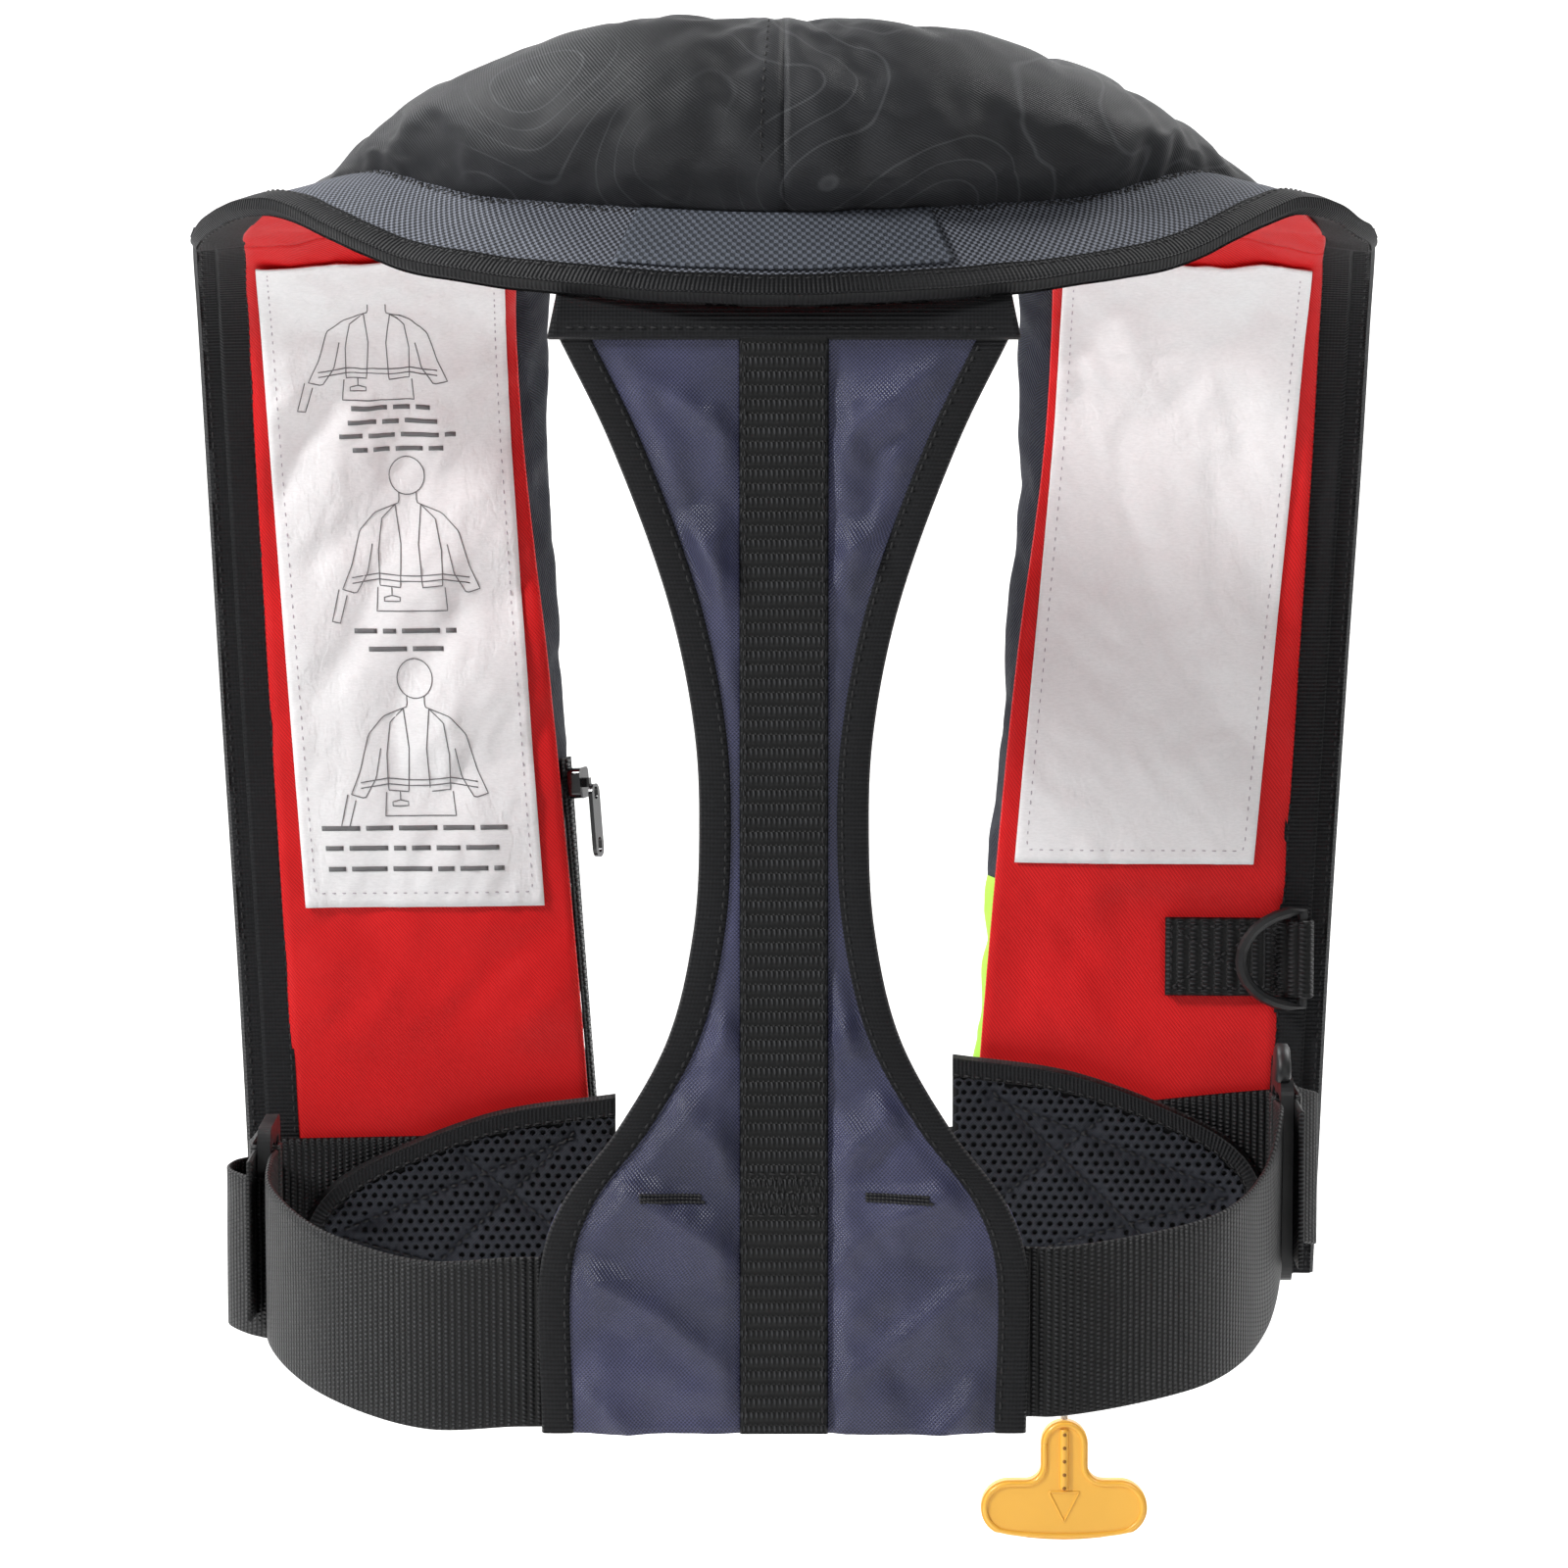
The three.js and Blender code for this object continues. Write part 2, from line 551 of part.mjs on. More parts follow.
function belt() {
  const pitch = (ADJUSTER.long - ADJUSTER.bar) / 2; // between bars
  const face = ADJUSTER.thick / 2 + GAP + WEB_THICK / 2; // from the adjuster's middle to webbing on its face
  const { right, left } = ADJUSTERS;
  // Each end of the back belt is sewn round its adjuster's rear bar.
  const end = (a, side) => [
    V(a.x - side * face, a.y - pitch - 14, a.z),
    ...roundBar(a, side, -pitch, -1, 1),
    V(a.x + side * face, a.y - pitch - 18, a.z),
  ];
  const backPath = [
    ...end(left, -1).reverse(),
    V(-156, -20, -310),
    V(-136, -62, -316),
    V(-104, -92, -319),
    V(-78, BELT_Y - 0.3, BELT_DROP - 1),
    V(-70, BELT_Y, BELT_DROP - 1),
    V(70, BELT_Y, BELT_DROP + 2),
    V(78, BELT_Y - 0.3, BELT_DROP + 2),
    V(100, -92, -312),
    V(128, -66, -310),
    V(146, -24, -304),
    ...end(right, 1),
  ];
  add("waist_belt", "webbing", webbing(backPath, BELT_WIDTH, 90));

  for (const [name, side] of Object.entries(SIDES)) {
    const a = ADJUSTERS[name];
    const z = { right: -299, left: -315 }[name];
    const k = side > 0 ? 0 : LAST;
    const q = station(k);
    const off = BODY_FACE - 3 * GAP - WEB_THICK / 2;
    const lobe = (s, height) => q.point(s, off).setZ(height);
    const load = face + GAP + WEB_THICK; // the strap lies over its own tail
    const path = [
      V(a.x + side * face, a.y + pitch + 14, a.z),
      V(a.x + side * face, a.y + pitch, a.z),
      ...roundBar(a, side, 0, 1, 1).slice(1),
      V(a.x - side * face, a.y - ADJUSTER.bar / 2, a.z),
      ...roundBar(a, side, 0, -1, -1).slice(2, 6),
      V(a.x + side * (load - 0.6), a.y - 3.2, a.z),
      V(a.x + side * load, a.y - 2, a.z),
      V(a.x + side * load, a.y + 6, a.z),
      V(a.x + side * load, a.y + pitch + 16, a.z),
      V(a.x + side * (load + 3), 72, (a.z + z) / 2),
      lobe(q.width + 1, z).add(V(-side * 1.5, -4, 0)),
      lobe(q.width - 8, z),
      lobe(q.width - 14, z),
      lobe(40, (z + FRONT_Z[name]) / 2),
      lobe(0, FRONT_Z[name]),
    ];
    add("front_strap_" + name, "webbing", webbing(path, BELT_WIDTH, 70));
    const start = lobe(0, FRONT_Z[name]);
    const end = side > 0 ? PLUG_FROM + BUCKLE.plug + GAP : BUCKLE.from - GAP;
    const lead = [V(start.x - side * GAP, start.y, start.z), V(end, BUCKLE_Y, FRONT_Z.left)];
    add("buckle_lead_" + name, "webbing", webbing(lead, BELT_WIDTH, 4));
  }
}

function adjusters() {
  const shape = roundedShape(ADJUSTER.long, ADJUSTER.tall, 5);
  const slot = (ADJUSTER.long - 3 * ADJUSTER.bar) / 2;
  for (const way of [-1, 1]) {
    const hole = roundedShape(slot, BELT_WIDTH + 2, 1.5).getPoints(2);
    const shift = (way * (slot + ADJUSTER.bar)) / 2;
    shape.holes.push(new THREE.Path(hole.map((p) => P(p.x + shift, p.y))));
  }
  // The plate is long along the belt (Y) and tall along Z.
  const turned = () => plate(shape, ADJUSTER.thick, 3).rotateX(Math.PI / 2).rotateZ(Math.PI / 2);
  for (const [name, a] of Object.entries(ADJUSTERS)) {
    add("adjuster_" + name, "plastic", turned()).position.set(a.x, a.y, a.z);
  }
}

// ---- Front buckle: a socket on the left strap and a plug with two sprung arms on the right one ----
function buckle() {
  const { from, socket, plug, tall, thick, wall, arm, armLength, webBar } = BUCKLE;
  const rounded = (long, radius) => plate(roundedShape(long, tall, radius), thick).rotateX(Math.PI / 2);
  const webSlot = (x) => box(webBar, thick + 2, BELT_WIDTH + 2).translate(x, 0, 0);
  const depth = armLength + 4;
  const cavity = box(depth + 1, thick - 2 * wall, tall - 4 * wall).translate(socket / 2 - depth / 2 + 0.5, 0, 0);
  const windows = box(11, thick - 2 * wall, tall + 2).translate(socket / 2 - armLength + 5, 0, 0);
  const body = cut(rounded(socket, 8), cavity, windows, webSlot(-socket / 2 + 1.5 * webBar));
  add("buckle_socket", "plastic", body).position.set(from + socket / 2, BUCKLE_Y, FRONT_Z.left);

  const tongue = box(armLength - 2, 3, 16).translate(-plug / 2 - armLength / 2 + 2, 0, 0);
  const base = cut(join(rounded(plug, 6), tongue), webSlot(plug / 2 - 1.5 * webBar));
  add("buckle_plug", "plastic", base).position.set(PLUG_FROM + plug / 2, BUCKLE_Y, FRONT_Z.left);

  for (const [name, up] of Object.entries({ upper: 1, lower: -1 })) {
    const outline = [
      P(0, -2.4),
      P(0, 2.4),
      P(-armLength + 12, 3),
      P(-armLength + 10, 5.4),
      P(-armLength + 3, 4.6),
      P(-armLength, 1.5),
      P(-armLength + 4, -2),
    ];
    const shape = new THREE.Shape(outline.map((p) => P(p.x, p.y * up)));
    const mesh = add("buckle_arm_" + name, "plastic", plate(shape, arm).rotateX(Math.PI / 2));
    mesh.position.set(PLUG_FROM - GAP, BUCKLE_Y, FRONT_Z.left + up * 19);
  }
}

// ---- D-ring on its webbing tab, at the right lobe's outer edge ----
const RING = { s: 100, off: 6.4, z: -231, half: STRAP_WIDTH / 2 + 2.8, reach: 21, radius: 1.9, lean: 0.33 };
const TAB_FROM = 56; // from the lobe's inner rail
function ringAndTab() {
  const { s, off, z, half, reach, radius, lean } = RING;
  // The straight side lies on the hinge line and the bow reaches towards the middle of the body.
  const bow = range(-Math.PI / 2, Math.PI / 2, 14).map((a) => P(-reach * Math.cos(a), half * Math.sin(a)));
  const straight = range(half, -half, 3).slice(1, -1).map((height) => P(0, height));
  const line = [...bow, ...straight];
  const rings = line.map((p, i) => {
    const way = line[(i + 1) % line.length].clone().sub(line.at(i - 1)).normalize();
    return range(0, 2 * Math.PI, 8)
      .slice(1)
      .map((a) => V(p.x + way.y * radius * Math.cos(a), radius * Math.sin(a), p.y - way.x * radius * Math.cos(a)));
  });
  const lobe = station(stationAt(1, z));
  const hinge = lobe.point(s, -off);
  const across = lobe.point(1, 0).sub(lobe.point(0, 0)).setZ(0).normalize();
  const facing = Math.atan2(across.y, across.x);
  const ring = add("d_ring", "plastic", loft(rings, []));
  ring.position.set(hinge.x, hinge.y, z);
  ring.rotation.z = facing + lean;

  // The tab is sewn flat to the lobe as a double layer, whose fold goes round the ring's straight side.
  const clear = radius + GAP;
  const seat = -TAPE_FOLD - GAP; // clears the edge tape
  const sewn = seat - 2 * WEB_THICK;
  const arc = (r, from, to) => range(from, to, 8).map((a) => P(s + r * Math.cos(a), -off + r * Math.sin(a)));
  const outline = [P(TAB_FROM, sewn), P(s - 7, sewn), P(s - 3, -off - clear - WEB_THICK)];
  outline.push(...arc(clear + WEB_THICK, -Math.PI / 2, Math.PI / 2 - 0.25), P(s - 2, seat), P(TAB_FROM, seat));
  const shape = new THREE.Shape(outline);
  const loop = [...arc(clear, Math.PI * 0.62, -Math.PI * 0.62), P(s - 5.5, seat - WEB_THICK - 0.6)];
  shape.holes.push(new THREE.Path(loop));
  const tab = new THREE.ExtrudeGeometry(shape, { depth: STRAP_WIDTH, bevelEnabled: false });
  tab.translate(0, 0, -STRAP_WIDTH / 2);
  const corner = lobe.point(0, 0);
  const mesh = add("ring_tab", "webbing", tab);
  mesh.position.set(corner.x, corner.y, z);
  mesh.rotation.z = facing;
}

// ---- Zipper on the left lobe, along the cover's inner side ----
const ZIP = { wide: 8, proud: 1.2, top: -168, foot: -316 };
const SLIDER = { z: -176, long: 10, wide: 8, thick: 4.2, clear: 0.9 };
const PULL = { long: 24, thick: 1.4, drop: 12.5 };

// A place on the cover's inner side: up is along the side from the backing, off is away from the cloth.
function onInnerSide(side, z, up, off) {
  const q = station(stationAt(side, z));
  const slope = P(-bulge(q.k), SIDE_SHARE * bandThick(q.k));
  const way = slope.clone().normalize();
  return q.point(slope.x / 2 + way.x * up - way.y * off, slope.y / 2 + way.y * up + way.x * off);
}

function zipper() {
  const [first, last] = [ZIP.top, ZIP.foot].map((z) => stationAt(-1, z));
  const grid = range(LAST - 4 * STEP, LAST, 4).filter((k) => k > first && k < last);
  const heights = [ZIP.top, ...grid.map((k) => station(k).point(0, 0).z), ZIP.foot];
  const outline = rectangle(-ZIP.wide / 2, ZIP.wide / 2, LOOSE_GAP, LOOSE_GAP + ZIP.proud);
  const rings = heights.map((z) =>
    outline.map((p) => onInnerSide(-1, z, p.x, p.y)),
  );
  add("zipper_chain", "zipper", loft(rings));

  const seat = LOOSE_GAP + ZIP.proud + SLIDER.clear + SLIDER.thick / 2;
  const at = onInnerSide(-1, SLIDER.z, 0, seat);
  const lower = onInnerSide(-1, ZIP.foot, 0, seat);
  const tilt = Math.atan2(at.x - lower.x, at.z - lower.z);
  const facing = onInnerSide(-1, SLIDER.z, 0, seat + 1).sub(at);
  const turn = Math.atan2(facing.y, facing.x);
  const upright = (shape, thick) => plate(shape, thick, 3).rotateX(Math.PI / 2).rotateZ(Math.PI / 2);
  const ear = box(2.4, 2, 3).translate(SLIDER.thick / 2 + 0.8, 0, 0);
  const slide = upright(roundedShape(SLIDER.wide, SLIDER.long, 2), SLIDER.thick);
  const slider = add("zip_slider", "zipper", join(slide, ear));
  const shape = roundedShape(6.5, PULL.long, 3);
  shape.holes.push(new THREE.Path(roundedShape(3, 5, 1.4).getPoints(3).map((p) => P(p.x, p.y - 8))));
  shape.holes.push(new THREE.Path(roundedShape(2.8, 4, 1.2).getPoints(3).map((p) => P(p.x, p.y + 9))));
  const pull = add("zip_pull", "zipper", upright(shape, PULL.thick));
  const off = SLIDER.thick / 2 + GAP + PULL.thick / 2 + 2;
  pull.position.set(off, 0, -PULL.drop);
  const both = new THREE.Group();
  both.add(slider, pull);
  both.position.copy(at);
  both.rotation.set(0, tilt, turn);
  part.add(both);
}

// ---- Gas side, inside the right lobe ----
const INFLATOR = { x: 100, y: 113.5, z: -272, wide: 28, deep: 22, tall: 46 };
const LEVER = { reach: 17, thick: 4, wide: 8 };
const LANYARD = { x: INFLATOR.x + 9.5 - LEVER.reach, y: INFLATOR.y, foot: -388 };
const BLADDER_FREE = 54; // kept clear of the bladder beside each lobe's inner rail, for the gas side and tube
const EYELET = { radius: 5, bore: 3.4 };
function inflator() {
  const { x, y, z, wide, deep, tall } = INFLATOR;
  const bodyShape = roundedShape(wide, tall, 4);
  add("inflator_body", "plastic", plate(bodyShape, deep, 3).rotateX(Math.PI / 2)).position.set(x, y, z);
  const top = z + tall / 2 + GAP;
  const neck = 9;
  const profile = [
    P(0, 0),
    P(4.8, 0),
    P(4.8, neck),
    P(CYLINDER_RADIUS - 3, neck + 6),
    P(CYLINDER_RADIUS, neck + 12),
    P(CYLINDER_RADIUS, CYLINDER_LENGTH - 6),
    P(CYLINDER_RADIUS - 5, CYLINDER_LENGTH),
    P(0, CYLINDER_LENGTH),
  ];
  const bottle = new THREE.LatheGeometry(profile, 20).rotateX(Math.PI / 2);
  add("gas_cylinder", "steel", bottle).position.set(x, y, top);
  // The water sensor's screw cap, on the body's front face towards the middle.
  add("sensor_cap", "yellow", rod(10, 8, 18).rotateY(Math.PI / 2)).position.set(x - wide / 2 - 4 - GAP, y, z - 6);
  const stem = onLobe(1, BLADDER_FREE, z + 6, 14).x - x - wide / 2 - 2 * LOOSE_GAP;
  const pipe = add("manifold", "plastic", rod(9, stem, 18).rotateY(Math.PI / 2));
  pipe.position.set(x + wide / 2 + stem / 2 + GAP, y - 2, z + 6);
  const pivot = V(x + 9.5, y, z - tall / 2 - GAP - LEVER.thick / 2);
  const lever = plate(roundedShape(LEVER.reach + 4, LEVER.thick, 1.5), LEVER.wide, 3).rotateX(Math.PI / 2);
  add("inflator_lever", "yellow", lever).position.set(pivot.x - LEVER.reach / 2, y, pivot.z);
  const lanyardTop = pivot.z - LEVER.thick / 2 - GAP;
  const long = lanyardTop - LANYARD.foot;
  add("pull_lanyard", "cord", rod(LANYARD_RADIUS, long, 8)).position.set(LANYARD.x, y, lanyardTop - long / 2);
}

// The handle: a stem with two broad wings and a bowed foot.
const TAB = { wide: 55, tall: 40, thick: 4, stem: 15.5, wingTop: 20 };
function pullTab() {
  const { wide, tall, thick, stem, wingTop } = TAB;
  const [half, stemHalf, round] = [wide / 2, stem / 2, 9.4];
  const shape = new THREE.Shape();
  shape.moveTo(-stemHalf, -6);
  shape.absarc(0, -stemHalf, stemHalf, Math.PI, 0, true);
  shape.lineTo(stemHalf, -wingTop + 5);
  shape.absarc(stemHalf + 5, -wingTop + 5, 5, Math.PI, Math.PI * 1.5, false);
  shape.absarc(half - round, -wingTop - round, round, Math.PI / 2, -Math.PI / 3, true);
  shape.quadraticCurveTo(0, -tall - 2.6, -half + round - round / 2, -wingTop - round - round * 0.866);
  shape.absarc(-half + round, -wingTop - round, round, (Math.PI * 4) / 3, Math.PI / 2, true);
  shape.absarc(-stemHalf - 5, -wingTop + 5, 5, -Math.PI / 2, 0, false);
  const mesh = add("pull_tab", "yellow", plate(shape, thick, 8).rotateX(Math.PI / 2));
  mesh.position.set(LANYARD.x, LANYARD.y, LANYARD.foot - GAP);
}

// ---- Bladder and oral tube ----
function bladder() {
  const inset = COVER_WALL + 1;
  const section = (width, k) => {
    const fromFoot = Math.min(k, LAST - k);
    const start = THREE.MathUtils.lerp(BLADDER_FREE, inset + 1, THREE.MathUtils.smoothstep(fromFoot, 2.4, 3));
    const line = coverTop(width, k, inset);
    const end = line.at(-1)[0];
    const top = range(start, end, 6).map((s) => {
      const i = Math.max(1, line.findIndex((p) => p[0] >= s - 1e-6));
      const [a, b] = [line[i - 1], line[i]];
      return [s, a[1] + ((b[1] - a[1]) * (s - a[0])) / (b[0] - a[0])];
    });
    return [...top, ...top.map(([s]) => [s, 0.4]).reverse()];
  };
  add("bladder", "bladder", alongBand(STEP, LAST - STEP, section));
}

const ORAL = { s: 24, v: 15, foot: -285, top: -175, wall: 1.6, cap: 1.4 };
function oralTube() {
  const low = onLobe(-1, ORAL.s, ORAL.foot, ORAL.v);
  const top = onLobe(-1, ORAL.s, ORAL.top, ORAL.v).z;
  const long = top - low.z;
  const bore = TUBE_RADIUS - ORAL.wall;
  const tube = cut(rod(TUBE_RADIUS, long, 16), rod(bore, 32, 16).translate(0, 0, long / 2));
  add("oral_tube", "plastic", tube).position.set(low.x, low.y, (low.z + top) / 2);
  // The elbow leads from the tube's foot to the bladder's flank.
  const flank = onLobe(-1, BLADDER_FREE, ORAL.foot - 7, ORAL.v);
  const reach = low.x - flank.x - LOOSE_GAP;
  const pipe = rod(TUBE_RADIUS - 1, reach, 16).rotateY(Math.PI / 2).translate(-reach / 2, 0, 0);
  const elbow = join(rod(TUBE_RADIUS + 1.5, 13, 16), pipe);
  add("oral_elbow", "plastic", elbow).position.set(low.x, low.y, low.z - 6.5 - GAP);
  const head = bore - GAP;
  const poppet = new THREE.LatheGeometry([P(0, -10), P(head, -10), P(head, -7), P(1.4, -6), P(1.4, 0), P(0, 0)], 14);
  add("oral_valve", "yellow", poppet.rotateX(Math.PI / 2)).position.set(low.x, low.y, top - 1);
  const inside = TUBE_RADIUS + GAP;
  const outside = inside + ORAL.cap;
  const skirt = [P(0, GAP), P(inside, GAP), P(inside, -10), P(outside, -10)];
  const profile = [...skirt, P(outside, ORAL.cap + GAP), P(0, ORAL.cap + GAP)];
  const cap = new THREE.LatheGeometry(profile, 16).rotateX(Math.PI / 2);
  add("oral_cap", "plastic", cap).position.set(low.x, low.y, top);
}

bands();
footPanels();
labels();
pads();
yoke();
belt();
adjusters();
buckle();
ringAndTab();
zipper();
inflator();
pullTab();
bladder();
oralTube();

export default part;
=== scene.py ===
"""The inflatable life jacket, seen from behind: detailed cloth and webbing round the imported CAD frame.

Shapes are worked out in millimetres, as in the CAD source, and scaled to metres where a mesh is made."""
import math

import bmesh
import bpy
import numpy as np
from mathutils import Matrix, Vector, noise
from mathutils.bvhtree import BVHTree


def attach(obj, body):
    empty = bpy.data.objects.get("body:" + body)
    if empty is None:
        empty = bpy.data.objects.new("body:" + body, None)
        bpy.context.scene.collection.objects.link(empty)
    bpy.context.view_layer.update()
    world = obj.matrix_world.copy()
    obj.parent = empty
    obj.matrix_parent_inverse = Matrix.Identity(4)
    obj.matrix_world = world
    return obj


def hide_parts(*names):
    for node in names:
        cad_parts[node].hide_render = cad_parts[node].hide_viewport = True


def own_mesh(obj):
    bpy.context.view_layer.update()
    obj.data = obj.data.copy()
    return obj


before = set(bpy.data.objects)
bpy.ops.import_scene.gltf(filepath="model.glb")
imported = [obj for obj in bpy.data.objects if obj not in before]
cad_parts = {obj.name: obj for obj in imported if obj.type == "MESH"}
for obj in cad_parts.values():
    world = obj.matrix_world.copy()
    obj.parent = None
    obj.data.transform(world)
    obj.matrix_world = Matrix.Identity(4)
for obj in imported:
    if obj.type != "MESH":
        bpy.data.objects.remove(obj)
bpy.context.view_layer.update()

MM = 0.001

# ---- Camera, at the photograph's viewpoint ----
CAMERA_PLACE = (0, -1.640, 0.015)
CAMERA_DIP = 6.26  # degrees below level
CAMERA_LENS = 124.3  # on a 36 mm sensor

camera_data = bpy.data.cameras.new("camera")
camera_data.lens = CAMERA_LENS
camera_data.sensor_width = 36
camera = bpy.data.objects.new("camera", camera_data)
camera.location = CAMERA_PLACE
camera.rotation_euler = (math.radians(90 - CAMERA_DIP), 0, 0)
bpy.context.scene.collection.objects.link(camera)
bpy.context.scene.camera = camera

# ---- Sizes that the CAD source gives ----
GAP = 0.3
LOOSE_GAP = 0.7
RIGHT_LIFT = 13
LOBE_THICK = 36
SHOULDER_THICK = 10
COLLAR_THICK = 30
BACKING_THICK = 1.5
LABEL_THICK = 0.5
EDGE_BINDING = 9
TRIM_WIDTH = 22
TRIM_THICK = 2.4
STRAP_WIDTH = 25.4
BELT_WIDTH = 50
WEB_THICK = 1.6
PAD_THICK = 3.4
YOKE_THICK = 1.5
YOKE_BINDING = 9.5
BELT_DROP = -315
LANYARD_RADIUS = 1.2
TAPE_FOLD = 2
BODY_FACE = -GAP - BACKING_THICK
SIDE_SHARE = 0.34
STEP = 0.36
CENTRE = 9
LAST = 18
SHOULDER = 15 * STEP
HIVIS = (-278, -207)
SIDES = {"right": 1, "left": -1}
INNER_RAIL = [
    (60, 99, -348),
    (67, 100, -250),
    (76, 101, -150),
    (84, 97, -75),
    (86, 78, -28),
    (84, 45, 0),
    (80, 8, 18),
    (70, -28, 34),
    (44, -52, 46),
    (0, -60, 50),
]
OUTER_RAIL = [
    (172, 92, -348),
    (176, 93, -250),
    (181, 92, -150),
    (184, 86, -75),
    (184, 66, -30),
    (182, 36, -6),
    (177, 0, 2),
    (152, -42, 9),
    (100, -90, -9),
    (0, -115, -17),
]


# ---- Curves and noise ----
def lerp(a, b, t):
    return a + (b - a) * t


def smoothstep(x, low, high):
    t = np.clip((np.asarray(x, float) - low) / (high - low), 0, 1)
    return t * t * (3 - 2 * t)


def unit(vectors):
    return vectors / np.linalg.norm(vectors, axis=-1, keepdims=True)


def through(points, shares, centripetal=False):
    """A Catmull-Rom curve through the points, at shares of it from 0 to 1."""
    p = np.asarray(points, float)
    p = np.vstack([2 * p[0] - p[1], p, 2 * p[-1] - p[-2]])
    at = np.clip(np.asarray(shares, float), 0, 1) * (len(p) - 3)
    i = np.minimum(at.astype(int), len(p) - 4)
    w = (at - i)[:, None]
    a, b, c, d = p[i], p[i + 1], p[i + 2], p[i + 3]
    if centripetal:
        ab, bc, cd = (
            np.maximum(np.linalg.norm(y - x, axis=1), 1e-6)[:, None] ** 0.5
            for x, y in ((a, b), (b, c), (c, d))
        )
        start = bc * ((b - a) / ab - (c - a) / (ab + bc) + (c - b) / bc)
        end = bc * ((c - b) / bc - (d - b) / (bc + cd) + (d - c) / cd)
    else:
        start, end = (c - a) / 2, (d - b) / 2
    cubic = 2 * b - 2 * c + start + end
    square = -3 * b + 3 * c - 2 * start - end
    return b + start * w + square * w**2 + cubic * w**3


def rail(points):
    right = [
        (x, y, z + RIGHT_LIFT * float(smoothstep(-z, 60, 180))) for x, y, z in points
    ]
    left = [(-x, y, z) for x, y, z in reversed(points)]
    return np.array(right + left[1:])


INNER, OUTER = rail(INNER_RAIL), rail(OUTER_RAIL)


def stations(ks):
    """Each station's inner rail point, way across, way off the body and width."""
    t = np.atleast_1d(np.asarray(ks, float)) / LAST
    start = through(INNER, t)
    across = through(OUTER, t) - start
    width = np.linalg.norm(across, axis=1)
    nudge = 1e-4
    along = sum(
        unit(through(r, t + nudge) - through(r, t - nudge)) for r in (INNER, OUTER)
    )
    across = unit(across)
    return start, across, unit(np.cross(unit(along), across)), width


def on_band(ks, s, v):
    """Points s from the inner rail and v off the body; s and v have a row for each station."""
    start, across, normal, _ = stations(ks)
    s, v = np.broadcast_arrays(np.asarray(s, float), np.asarray(v, float))
    return (
        start[:, None]
        + across[:, None] * s[..., None]
        + normal[:, None] * v[..., None]
    )


def station_at(side, z):
    low, high = (0, 5) if side > 0 else (LAST, LAST - 5)
    for _ in range(40):
        middle = (low + high) / 2
        if stations(middle)[0][0, 2] < z:
            low = middle
        else:
            high = middle
    return low


def towards_neck(k):
    return smoothstep(np.minimum(k, LAST - np.asarray(k)), 5.4, 7.6)


def trim_width(k):
    return TRIM_WIDTH * smoothstep(np.minimum(k, LAST - np.asarray(k)), 5.5, 6.9)


def band_thick(k):
    """Thick on the chest and behind the neck, and thin where the jacket bends over the shoulders."""
    foot = np.minimum(k, LAST - np.asarray(k))
    chest = lerp(LOBE_THICK, SHOULDER_THICK, smoothstep(foot, 3, 4.6))
    return lerp(chest, COLLAR_THICK, smoothstep(foot, 6, 8.6))


def strip_width(k):
    return EDGE_BINDING * lerp(2, 1, towards_neck(k))


def cover_width(w, k):
    return w - strip_width(k) - trim_width(k) - GAP


def backing_width(w, k):
    return w - strip_width(k) - GAP


def bulge(k):
    foot = np.minimum(k, LAST - np.asarray(k))
    return 3.5 + 10 * smoothstep(foot, 0.8, 4) - 9 * towards_neck(k)


def rough(points, scale, seed=0, octaves=2):
    """Smooth noise about 0 at each point, with features about scale millimetres wide."""
    shape = points.shape[:-1]
    flat = points.reshape(-1, 3) / scale + np.array([17.3, 5.1, 9.7]) * (seed + 1)
    out = [
        noise.fractal(Vector(p), 1.0, 2.0, octaves, noise_basis="PERLIN_ORIGINAL")
        for p in flat
    ]
    return np.array(out).reshape(shape)


# ---- Meshes ----
TUCK = 2.5  # how far a piece runs on inside the tape that binds it
EDGE_ROUND = 0.6  # share of a cloth's thickness that its edge is drawn in


def strip_faces(rows, columns, closed=False):
    """Quads over a grid of points; closed joins its last column to its first."""
    i = np.arange(rows - 1)[:, None] * columns
    j = np.arange(columns if closed else columns - 1)[None]
    k = (j + 1) % columns
    quads = np.stack([i + j, i + k, i + columns + k, i + columns + j], axis=-1)
    return quads.reshape(-1, 4).tolist()


def closed_faces(rows, around):
    """The faces of a closed solid through rings of points, with a flat face at each end."""
    last = (rows - 1) * around
    ends = [list(range(around)), [last + i for i in reversed(range(around))]]
    return strip_faces(rows, around, closed=True) + ends


def bars(sections):
    """The points and faces of many closed solids as one. Each is rows by points around by 3."""
    verts, faces = [], []
    for rings in sections:
        base = len(verts)
        verts += rings.reshape(-1, 3).tolist()
        faces += [[base + i for i in face] for face in closed_faces(*rings.shape[:2])]
    return verts, faces


def new_mesh(name, points, faces, cloth=None):
    """points in millimetres; cloth is each point's place on the flat cloth, also in millimetres."""
    mesh = bpy.data.meshes.new(name)
    mesh.from_pydata((np.asarray(points).reshape(-1, 3) * MM).tolist(), [], faces)
    if cloth is not None:
        flat = np.zeros((len(mesh.vertices), 3), np.float32)
        flat[:, :2] = np.asarray(cloth).reshape(-1, 2) * MM
        layer = mesh.attributes.new("cloth", "FLOAT_VECTOR", "POINT")
        layer.data.foreach_set("vector", flat.ravel())
    work = bmesh.new()
    work.from_mesh(mesh)
    bmesh.ops.recalc_face_normals(work, faces=work.faces)
    work.to_mesh(mesh)
    work.free()
    mesh.polygons.foreach_set("use_smooth", [True] * len(mesh.polygons))
    obj = bpy.data.objects.new(name, mesh)
    bpy.context.scene.collection.objects.link(obj)
    return obj


